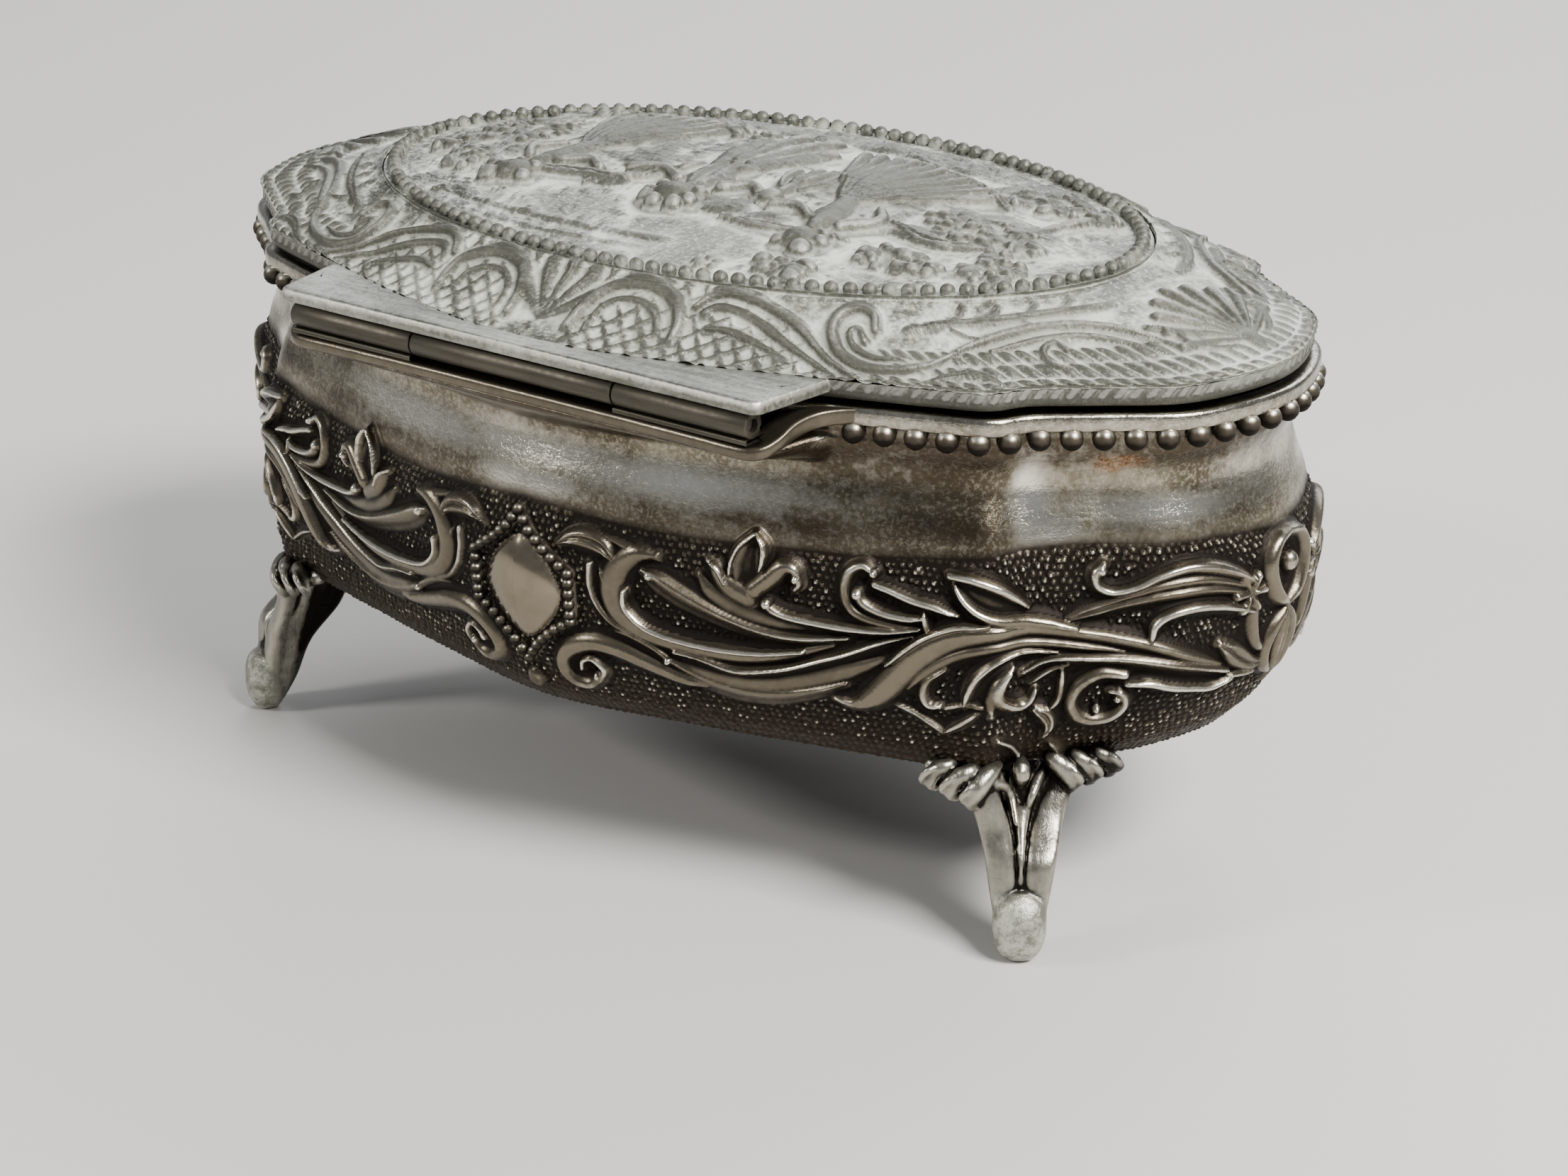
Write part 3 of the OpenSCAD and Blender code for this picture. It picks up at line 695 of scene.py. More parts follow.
# Strokes of one quarter, from the back middle (0) towards the end, with heights above the
# table: points, half widths, height, and the cross-section and lean if it is not a plain dome
PATTERN_SHIFT = 0.4
SCROLLS = [
    # big loop and the strands that leave it
    ([(10.4, 26.4), (8.9, 26.3), (7.6, 25.2), (7.1, 23.6), (7.5, 22.1), (8.8, 21), (11, 20.3), (14, 20),
     (17, 20), (20, 20.6), (23, 21.6)], [0.3, 0.7, 0.85, 0.95, 0.95, 0.85, 0.7, 0.65, 0.6, 0.5, 0.3],
     0.75),
    ([(8.1, 23.6), (8.1, 22.6), (8.8, 21.7), (10, 21), (12, 20.6), (15, 20.4), (18, 20.5), (21, 21)],
     [0.25, 0.3, 0.32, 0.32, 0.3, 0.3, 0.28, 0.2], 1.0),
    ([(5.4, 25), (5.4, 23.6), (5.9, 22.2), (7, 21), (8.4, 20.4)], 0.28, 0.6),
    ([(6.2, 24.8), (6.5, 24), (6.6, 23.2)], [0.1, 0.25, 0.1], 0.6),
    ([(9.4, 25.2), (10.4, 24.8), (12, 24), (14, 23.2), (16, 22.5), (18.5, 21.9), (21, 21.8),
     (24, 22.2)], [0.3, 0.7, 0.8, 0.75, 0.65, 0.6, 0.5, 0.3], 0.9, "ridge", 0.3),
    ([(7.3, 20.3), (8.6, 20.1), (10, 19.5), (11.2, 18.8), (12.7, 18.1), (14.5, 17.5), (17, 17.1),
     (19.5, 17.3), (22, 18), (24, 18.8)], [0.25, 0.45, 0.5, 0.5, 0.6, 0.7, 0.7, 0.65, 0.5, 0.3], 0.7,
     "ridge", 0.3),
    ([(11.8, 19.6), (13.5, 19.4), (16, 18.8), (18, 19), (20, 19.5), (22, 20.3), (24, 21.1),
     (26.5, 22.3), (28.5, 23)], [0.35, 0.5, 0.55, 0.5, 0.45, 0.45, 0.4, 0.35, 0.2], 0.95, "ridge", 0.3),
    ([(12, 18.6), (15, 18), (18, 17.9), (21, 18.6), (24, 19.8), (27, 21.3)], [0.4, 0.7, 0.8, 0.8, 0.7,
     0.3], 0.55),
    # lower spiral
    ([(14, 17.3), (12, 17.6), (9.5, 18.3), (7.5, 18.9), (5.5, 19.1), (3.9, 18.6), (2.8, 17.6),
     (2.6, 16.5), (3.4, 15.7), (4.6, 15.6), (5.6, 16.2)], [0.3, 0.55, 0.65, 0.7, 0.7, 0.7, 0.6, 0.55,
     0.5, 0.45, 0.35], 0.8),
    ([(5.6, 16.2), (6, 17), (5.2, 17.8), (4.4, 17.5), (4.2, 16.8)], [0.35, 0.3, 0.28, 0.26, 0.2], 0.7),
    # leaflet beside the cartouche
    ([(2.8, 26.1), (4, 26.7), (5.4, 26.8), (6.6, 26.4), (7.3, 25.5)], [0.1, 0.55, 0.75, 0.65, 0.2],
     0.85, "leaf"),
    ([(6.6, 27.2), (8, 26.8), (9.5, 26.5), (10.6, 26.1)], [0.2, 0.35, 0.35, 0.15], 0.5),
    # three-lobed leaf
    ([(13.6, 25.4), (14.6, 24.3), (16.5, 23.3), (19, 22.8), (22, 22.6)], [0.3, 0.8, 1, 0.7, 0.3], 0.55),
    ([(17.2, 24.4), (17, 26), (17.1, 27.2), (17.6, 28.8)], [0.8, 1, 0.8, 0.1], 0.7, "cup"),
    ([(17.6, 28.8), (18.1, 28), (18.1, 27.1), (17.9, 26.4)], [0.12, 0.28, 0.28, 0.15], 1.0),
    ([(17.4, 28.7), (16.4, 27.8), (15.9, 26.8), (15.8, 26)], 0.2, 0.85),
    ([(17, 24.4), (15.8, 25), (15, 25.8), (14.2, 26.7)], [0.8, 0.8, 0.6, 0.1], 0.75),
    ([(14.2, 26.7), (15, 26.2), (15.5, 25.3)], [0.1, 0.25, 0.2], 1.0),
    ([(17.5, 25), (18.6, 26), (19.5, 26.8), (20.3, 26.7), (20.6, 25.8), (20.3, 25.3)], [0.7, 0.7, 0.6,
     0.45, 0.35, 0.2], 0.9),
    ([(18.3, 24.3), (18.8, 23.8), (20, 23.4), (22, 23.2), (24, 23.1), (26.5, 23.2), (29, 23.6)], [0.35,
     0.4, 0.35, 0.35, 0.35, 0.3, 0.2], 0.95),
    # middle curl
    ([(25.8, 27.1), (25, 27.5), (24.1, 27), (23.8, 26), (24, 24.9), (24.8, 24.1), (26.5, 23.7),
     (28.5, 23.6)], [0.3, 0.35, 0.4, 0.45, 0.45, 0.45, 0.4, 0.25], 0.75),
    ([(24.7, 25.7), (25.2, 25), (26.4, 24.5), (28, 24.3), (29.3, 24.4)], [0.45, 0.45, 0.4, 0.35, 0.2],
     0.95),
    ([(25.9, 26.4), (27, 26.1), (28.5, 25.6), (30, 25.3), (31.6, 24.8)], [0.3, 0.35, 0.4, 0.4, 0.15],
     0.9),
    ([(29.3, 24.8), (29.4, 24), (29.7, 23.2)], [0.15, 0.3, 0.2], 0.8),
    # corner leaf
    ([(31.6, 27), (33.5, 25.9), (36, 24.9)], [0.3, 0.8, 0.5], 0.4),
    ([(31, 27.5), (32.4, 27.4), (33.8, 26.9), (35, 26.1), (36.2, 25.3)], [0.25, 0.4, 0.42, 0.4, 0.2],
     1.0),
    ([(31.2, 27.2), (31.8, 26.2), (32.7, 25.3), (34, 24.6), (36, 24.3), (38, 24), (39.6, 23.7)], [0.15,
     0.3, 0.35, 0.5, 0.55, 0.5, 0.3], 1.0),
    # main stem
    ([(23.3, 17.6), (24.8, 17.5), (26.3, 18.4), (27.8, 20.2), (29, 21.6), (30.8, 22.9), (33, 23.6),
     (36, 23.7), (39, 23.4), (42, 22.9), (45, 22.2), (48, 21), (50.2, 20.1)], [0.15, 0.5, 0.9, 1, 1.05,
     0.95, 0.75, 0.55, 0.5, 0.5, 0.5, 0.45, 0.2], 1.0, "dome", 0.2),
    ([(26.8, 20.8), (28, 22), (29.5, 23.2), (31.5, 24.1), (33.5, 24.3)], [0.15, 0.3, 0.32, 0.3, 0.15],
     1.15),
    ([(28.4, 19.2), (29.5, 20.6), (31.5, 22), (34, 22.7), (37, 22.7), (40, 22.4), (43, 21.9)], [0.2,
     0.5, 0.5, 0.45, 0.4, 0.35, 0.2], 0.75),
    ([(30.6, 18.1), (29.8, 18.2), (29.4, 19), (29.7, 20), (30.8, 20.9)], [0.2, 0.35, 0.38, 0.35, 0.2],
     0.75),
    ([(32.2, 18.3), (32.4, 19.4), (33, 20.7), (34.3, 21.8), (36.2, 22.1), (38.5, 21.9)], [0.15, 0.4,
     0.45, 0.45, 0.35, 0.2], 0.8, "ridge"),
    ([(31, 18), (32.2, 18.4), (33.2, 18.3)], 0.2, 0.5),
    ([(35, 21.2), (34.3, 20.3), (34, 19.2), (34.6, 18.5), (35.6, 18.2), (36.5, 18.5), (37, 19.2)], [0.2,
     0.45, 0.5, 0.5, 0.5, 0.45, 0.25], 1.0),
    ([(33.8, 17.6), (33.7, 19), (34.2, 20.3)], [0.15, 0.35, 0.2], 0.65),
    ([(27.6, 17.8), (29, 17.3), (30.2, 16.6), (31, 16.1)], [0.12, 0.22, 0.22, 0.12], 0.5),
    ([(31, 16.1), (32, 16.9), (33, 17.9)], [0.12, 0.26, 0.12], 0.55),
    ([(37.2, 17.7), (38, 17.2), (38.4, 16.4), (38.2, 15.2)], [0.3, 0.6, 0.45, 0.1], 0.85, "leaf"),
    ([(34.3, 15.7), (35.5, 15), (36.6, 14.1)], [0.15, 0.3, 0.3], 0.6),
    ([(38.8, 14.9), (39.6, 14.3), (40.4, 13.7)], [0.15, 0.35, 0.35], 0.5),
    ([(36, 20.5), (38, 21.4), (41, 21.4), (44, 21.2), (47, 20.6), (49.5, 19.9), (51, 19.4)], [0.2, 0.35,
     0.5, 0.6, 0.6, 0.5, 0.3], 0.9, "ridge", 0.2),
    ([(36.6, 19.6), (38, 20.6), (39.2, 21)], [0.12, 0.26, 0.2], 0.55),
    # curl under the end of the stem
    ([(43.2, 20.2), (41.5, 20.3), (40.2, 19.5), (39.7, 18.3), (40.2, 17.2), (41.4, 16.7), (42.8, 16.9),
     (43.6, 17.8), (43.2, 18.8), (42.4, 18.9)], [0.4, 0.5, 0.5, 0.5, 0.5, 0.5, 0.45, 0.4, 0.35, 0.2],
     0.85),
    ([(43.4, 19.5), (45, 19.5), (46.5, 19.1), (48, 18.8), (49.8, 18.5), (51.5, 18.8)], [0.2, 0.35, 0.35,
     0.3, 0.3, 0.2], 0.9),
    ([(38.8, 21), (38.9, 19.6), (38.8, 18.4), (38.2, 17.6)], [0.15, 0.32, 0.3, 0.15], 0.65),
    # long leaves towards the end
    ([(41.4, 28), (40.8, 27.4), (41, 26.6), (42, 26.2), (43.6, 26.5), (45.2, 27.2), (47, 27.6),
     (49, 27.3), (51, 26.5), (52.5, 25.5)], [0.3, 0.4, 0.4, 0.35, 0.35, 0.4, 0.45, 0.5, 0.4, 0.25],
     0.95),
    ([(39, 24.3), (41, 25), (43, 25.6), (45.5, 26.2), (48, 26.3), (50.5, 25.7), (52.5, 24.8)], [0.3,
     0.5, 0.6, 0.8, 0.8, 0.6, 0.4], 0.8, "leaf"),
    ([(44.7, 22.9), (44.9, 23.8), (45.8, 24.5), (47.4, 24.8), (49.2, 24.6), (51, 24.1), (52.3, 23.6)],
     [0.3, 0.35, 0.4, 0.42, 0.4, 0.35, 0.3], 0.9),
    ([(49.9, 21.6), (50.8, 21), (51.8, 20.2), (53.2, 19.4), (54.8, 19)], [0.3, 0.7, 0.8, 0.6, 0.2],
     0.85, "leaf"),
    ([(51.2, 19), (52.5, 18.8), (54.2, 18.6)], [0.15, 0.3, 0.1], 0.75),
    ([(52.4, 24.2), (52.6, 22.6), (53.2, 21), (54.4, 20)], [0.5, 0.6, 0.5, 0.2], 0.75),
    # scroll and leaf at the end of the box
    ([(56.3, 23), (55, 23.9), (54.2, 25.2), (54.1, 26.6), (54.9, 27.7), (56.3, 28.1)], [0.3, 0.6, 0.75,
     0.65, 0.5, 0.4], 0.95),
    ([(56.3, 22.8), (55.2, 21.6), (54.6, 20.2), (55, 18.8), (56.3, 17.6)], [0.3, 0.5, 0.6, 0.5, 0.2],
     0.8),
    ([(56.3, 22.4), (56.3, 20), (56.3, 17)], [0.4, 0.8, 0.2], 0.9, "leaf"),
]
# Round ends of curls: place, radius, height
BULBS = [((18.4, 24.2), 0.5, 1.15), ((24.7, 25.6), 0.52, 1.1), ((25.8, 27.1), 0.36, 1.0),
         ((20.4, 26.1), 0.4, 1.05), ((10, 25), 0.5, 1.0), ((11.2, 18.8), 0.36, 0.95),
         ((41.6, 17.6), 0.36, 0.9), ((43, 18.4), 0.36, 0.95), ((-0.4, 14.9), 0.85, 0.75),
         ((56.3, 26), 0.85, 1.0), ((41.2, 27.6), 0.5, 1.05), ((5.4, 16.4), 0.4, 0.8)]
BLOSSOM = (52.4, 24.9)
# Bead path round the cartouche, and the upper edge of the stippled ground
CARTOUCHE_BEADS = [(0, 27.9), (0.9, 26.6), (2.2, 25.4), (4.2, 24)]
CARTOUCHE_SIDE = [(4.2, 23.3), (4.2, 20.9)]
CARTOUCHE_LOW = [(4.2, 20.3), (2.6, 19.3), (1.1, 17.9), (0, 16.5)]
STIPPLE_TOP = [(0, 28.7), (10, 27.9), (25, 28), (30, 28.4), (40, 29.3), (50, 29.2), (57, 28.5)]

WALL_COLS, WALL_ROWS = 512, 196
WALL_TOP = 33.9
s_line = np.linspace(0, QUARTER_ARC, WALL_COLS)
z_line = np.linspace(BASE_Z + 0.05, WALL_TOP, WALL_ROWS)
wall_s, wall_z = np.meshgrid(s_line, z_line)


def pillow_at(s, z):
    """Below 1 on the cartouche's pillow, which reaches 3.3 mm sideways and 3.9 mm up and down."""
    return (np.abs(s) / 3.3) ** 1.5 + (np.abs(z - 22.1) / 3.9) ** 1.5


def paint_wall():
    """The relief of one quarter of the wall."""
    r = Relief(wall_s, wall_z)
    for points, width, height, *style in SCROLLS:
        path = [(u + PATTERN_SHIFT, v) for u, v in points]
        r.stroke(path, np.asarray(width, float) * 1.25 + 0.28, height * 0.45)
        r.stroke(path, np.asarray(width, float) * 1.2, height, *style)
    for (u, v), radius, height in BULBS:
        r.ball((u + PATTERN_SHIFT, v), radius, height)
    for k in range(6):
        a = k * math.pi / 3
        tip = (BLOSSOM[0] + 1.25 * math.cos(a), BLOSSOM[1] + 1.25 * math.sin(a))
        r.stroke([BLOSSOM, tip], [0.2, 0.5], 0.9)
    for path in (CARTOUCHE_BEADS, CARTOUCHE_SIDE, CARTOUCHE_LOW):
        r.stroke(path, 0.45, 0.3)
    r.h = np.maximum(r.h, 1.1 * unit(1 - pillow_at(wall_s, wall_z)) ** 0.6)
    top = np.interp(wall_s, *np.array(STIPPLE_TOP).T)
    ground = unit((top - wall_z) / 0.4) * unit(1 - r.h / 0.12)
    frame_h = r.h.copy()
    low = np.clip((wall_z - BASE_Z) / 1.6, 0.45, 1)
    tops = r.dots(0.55, 0.21, 0.2, ground * low, 3)
    return r.h, frame_h, tops


wall_h, stroke_h, dot_tops = paint_wall()
wall_f = param_at(wall_s)


def wall_base():
    """The plain wall surface of the back -X quarter at the relief's grid."""
    p = np.zeros(wall_s.shape + (3,))
    for row, z in enumerate(z_line):
        a, b, swell = body_level(z)
        p[row, :, :2] = outline_at(wall_f[row], a, b, swell)
        p[row, :, 2] = z
    return p


def relief_values(h, scale, cells):
    """Height and hollow values, from 0 to 1, that the materials read."""
    relief = unit(h / scale)
    near = blurred(h, cells) - h
    wide = blurred(h, cells * 3) - h
    # the crevice value marks tight hollows for painted shade
    return {"relief": relief, "cavity": unit(near * 2.2 + wide * 1.0),
            "crevice_shade": unit(near * 4.5 - 0.15), "crest": unit(-near * 3.5)}


# Marks on the smooth neck of each quarter: middle, half sizes and strength. The dark marks mix tarnishing
# with painted shade under the ledge and the rim and painted dark reflections on the neck's curve; the
# bright marks are painted highlights on smoother metal; the copper marks are stains.
TARNISH_AND_SHADE = [((27, 34.2), (9, 2.6), 1.25), ((3, 34.6), (12, 1.6), 0.7), ((50, 35.2), (5, 1.6), 0.7),
           ((43.5, 32.4), (2, 0.8), 0.5), ((41, 34), (3.5, 1.6), 0.5), ((19, 29.5), (12, 1.4), 1.0),
           ((31, 30.4), (6, 1.4), 0.9), ((46, 30.4), (6, 1.0), 0.6)]
COPPER = [((43, 34.6), (3.2, 1.2), 0.9), ((18.5, 32), (3, 0.6), 0.4), ((27, 31.5), (2.4, 0.5), 0.45),
          ((39.6, 33.8), (1.2, 1.2), 0.4), ((8, 31.6), (2, 0.5), 0.25)]
POLISH_AND_HIGHLIGHT = [((37.3, 32), (1.3, 3), 1.0), ((38.5, 30), (2.2, 1.2), 0.8), ((12, 31.3), (9, 1.2), 0.8),
            ((47, 31.4), (5, 0.9), 0.8), ((54, 33), (4, 2), 0.4), ((1.5, 29.8), (3, 0.9), 0.8),
            ((2, 32), (6, 1.3), 0.6)]


def neck_marks(s, z):
    """How dark (tarnishing mixed with painted shade), coppery or bright with painted highlight the neck is,
    from 0 to 1.
    """
    marks = {}
    for name, spots in (("tarnish_and_shade", TARNISH_AND_SHADE), ("copper", COPPER), ("polish_and_highlight", POLISH_AND_HIGHLIGHT)):
        total = np.zeros(np.shape(s))
        for (s_at, z_at), (half_s, half_z), strength in spots:
            q = ((s - s_at) / half_s) ** 2 + ((z - z_at) / half_z) ** 2
            total = np.maximum(total, strength * np.exp(-q * 1.2))
        marks[name] = total
    # painted shade on the neck under the rim's beads
    under_beads = unit((z - 33.2) / 1.8) * (z < 37)
    marks["tarnish_and_shade"] = np.maximum(marks["tarnish_and_shade"], 0.95 * under_beads)
    return marks


def body_walls():
    """The four walls: one painted quarter, mirrored."""
    base = wall_base()
    shape = base + grid_normals(base, 1) * wall_h[..., None]
    values = relief_values(wall_h, 1.0, 3)
    top = np.interp(wall_s, *np.array(STIPPLE_TOP).T)
    # painted highlight: a small bright spot on the top of each stipple dot
    values["crest"] = np.maximum(values["crest"], 0.75 * dot_tops**3)
    values["plain"] = unit((wall_z - top) / 0.8) * unit(1 - stroke_h / 0.2)
    values["smooth"] = (pillow_at(wall_s, wall_z) < 1.0) * 1.0
    values.update(neck_marks(wall_s, wall_z))
    # painted shade: the lower belly darkens towards the bottom
    values["tarnish_and_shade"] = np.maximum(values["tarnish_and_shade"], 0.75 * unit((16.6 - wall_z) / 2))
    normal = grid_normals(shape, 1)
    for name, side, front in (("back_right", 1, 1), ("back_left", -1, 1),
                              ("front_right", 1, -1), ("front_left", -1, -1)):
        turn = np.array([side, front, 1.0])
        piece = grid_piece("body_wall_" + name, shape * turn, "body", values,
                           flip=side * front < 0, normals=normal * turn)
        finish_piece(piece, "aged_silver", "body_shell")


body_walls()


CARTOUCHE_BEAD_R = 0.41


def cartouche_beads():
    """The beads round the cartouche, behind and in front."""
    at = np.vstack([evenly(np.array(path), pitch) for path, pitch in (
        (CARTOUCHE_BEADS, 0.78), (CARTOUCHE_SIDE, 0.8), (CARTOUCHE_LOW, 0.8))])
    at = np.vstack([at, at[at[:, 0] > 0.1] * (-1, 1)])
    z = at[:, 1]
    a, b, swell = body_level(z)
    centres = []
    for (s, z_at), a_at, b_at, w in zip(at, a, b, swell):
        x, y = outline_at(param_at(np.array([s])), a_at, b_at, w)[0]
        centres.append((x, y + 0.42, z_at))
    centres = np.array(centres)
    both = np.vstack([centres, centres * (1, -1, 1)])
    finish_piece(bead_piece("cartouche_beads", both, CARTOUCHE_BEAD_R, "body"), "aged_silver")


cartouche_beads()

# ---- body rim, inside and underside ---------------------------------------------------

RING_COLS = 640
ring_f = np.linspace(0, KEY_COUNT, RING_COLS, endpoint=False)


def at_height(points, z):
    """Points of a plan at height z."""
    return np.column_stack([points, np.full(len(points), z)])


def ring(a, b, z, swell=0.0, y_max=np.inf):
    """A ring of the plan, cut straight behind at y_max."""
    p = outline_at(ring_f, a, b, swell)
    p[:, 1] = np.minimum(p[:, 1], y_max)
    return at_height(p, z)


def body_ring(level, z, inset=0.0, share=1.0, y_max=np.inf):
    """The body's plan at a level, moved in and shrunk to a share, at height z."""
    a, b, swell = body_level(level)
    return ring((a - inset) * share, (b - inset) * share, z, swell, y_max)


def smooth_step(x):
    x = unit(x)
    return x * x * (3 - 2 * x)


def towards_ledge(p):
    """Lets the neck flow out to the hinge ledge's lower side."""
    rise = smooth_step((p[..., 2] - 33.7) / 2.4) ** 1.2
    target = np.interp(np.abs(p[..., 0]), [0, 19, 20.3, 21.2, 21.8], [28.05, 28.0, 27, 23.5, 10])
    reach = np.maximum(target - p[..., 1], 0) * (p[..., 1] > 15)
    p[..., 1] += reach * rise
    return p


def body_rim():
    """The neck up to the beads, the rim flange, the inside and the underside."""
    rows = [towards_ledge(body_ring(min(z, 35.6), z))
            for z in np.arange(WALL_TOP - 0.15, 36.05, 0.15)]
    for z, inset in ((36.2, 0.95), (36.5, 0.85), (37.1, 0.7), (37.18, 0.5), (37.24, 0.12),
                     (37.32, 0.02), (37.6, 0), (38.1, 0), (38.3, 0.08), (38.4, 0.2),
                     (38.45, 0.35), (38.45, 1.2), (38.4, 1.35), (38.3, 1.4)):
        rows.append(ring(44.6 - inset, 27.2 - inset, z, 0, STRAIGHT_Y - max(0, inset - 0.9)))
    p = np.array(rows)
    place = np.interp(ring_f, fine_f, belly_arc)
    s_at = np.abs((place % (2 * QUARTER_ARC)) - QUARTER_ARC) * np.ones(p.shape[:2])
    values = flat_values(p.shape[:2], 0.45) | neck_marks(s_at, p[..., 2])
    values["plain"] = np.ones(p.shape[:2])
    flange = unit((p[..., 2] - 37) / 0.2)
    # the flange gets a faint painted highlight and a little less roughness
    values["polish_and_highlight"] = np.maximum(values["polish_and_highlight"], 0.28 * flange)
    finish_piece(grid_piece("body_rim", p, "body", values, closed=True), "aged_silver")
    rows = [body_ring(min(z, 35.8), z, WALL_T if z < 37.5 else 0.7,
                      y_max=STRAIGHT_Y - 0.4 if z > 36 else np.inf)
            for z in (38.3, 37.9, 37, 36.2, 35.4, 34.4, 33.4, 32.4, 31, 29, 27, 24, 21, 18.5, 16.5,
                      15.3)]
    rows += [body_ring(15.0, FLOOR_Z, WALL_T, share) for share in (0.985, 0.96, 0.9, 0.7, 0.4, 0.02)]
    p = np.array(rows)
    finish_piece(grid_piece("body_inside", p, "body", flat_values(p.shape[:2], 0.3, 0.1),
                            closed=True), "aged_silver")
    p = np.array([body_ring(BASE_Z + 0.05, z, 0, share) for share, z in (
        (1.0, 12.95), (0.985, 12.9), (0.97, 12.95), (0.9, 13.0), (0.6, 13.05), (0.3, 13.05),
        (0.02, 13.05))])
    finish_piece(grid_piece("body_underside", p, "body", flat_values(p.shape[:2], 0.3, 0.15),
                            flip=True, closed=True), "aged_silver")


body_rim()


RIM_BEAD_R, RIM_BEAD_PITCH, RIM_BEAD_Z = 0.8, 2.1, 36.66


def rim_beads():
    """The row of cast beads under the rim; none behind the hinge."""
    line = outline_at(fine_f, 44.2, 26.8)
    at = evenly(line, RIM_BEAD_PITCH, closed=True)
    at = at[(at[:, 1] < 20) | (np.abs(at[:, 0]) > HINGE_GAP)]
    centres = at_height(at, RIM_BEAD_Z)
    finish_piece(bead_piece("rim_beads", centres, RIM_BEAD_R, "body"), "aged_silver")


rim_beads()

# ---- lid --------------------------------------------------------------------------------

LID_COLS = 1536
LID_ROWS = 120
lid_f = np.linspace(0, KEY_COUNT, LID_COLS + 1)
LID_RINGS = [(0.15, 44.0, 26.8, 0), (0.35, 43.5, 26.3, 0), (1.2, 40.3, 24.4, 0.3),
             (2.3, 36.7, 22.7, 0.7), (3.25, 33.2, 21.1, 1), (3.8, 31.8, 20.6, 1),
             (3.95, 31.4, 20.3, 1)]


def rounded_at(f, a, b, m):
    """The outline moved towards an ellipse by m."""
    p = outline_at(f, a, b)
    t = np.arctan2(p[:, 1] / b, p[:, 0] / a)
    return p * (1 - m) + np.column_stack([a * np.cos(t), b * np.sin(t)]) * m


def lid_annulus():
    """The plain surface between the lid's edge and the beaded ring."""
    rings_at = np.linspace(0, len(LID_RINGS) - 1, LID_ROWS)
    table = np.array(LID_RINGS)
    cols = [spline_value(table[:, k], rings_at) for k in range(4)]
    p = np.zeros((LID_ROWS, LID_COLS + 1, 3))
    for row in range(LID_ROWS):
        z, a, b, m = (c[row] for c in cols)
        p[row, :, :2] = rounded_at(lid_f, a, b, unit(m))
        p[row, :, 2] = LID_TOP_Z + z
    return p


def spline_value(values, at):
    """Values of a list at fractional places, through a smooth curve."""
    v = np.r_[2 * values[0] - values[1], values, 2 * values[-1] - values[-2]]
    i = np.minimum(np.floor(at).astype(int), len(values) - 2)
    return between([v[i + k] for k in range(4)], at - i)


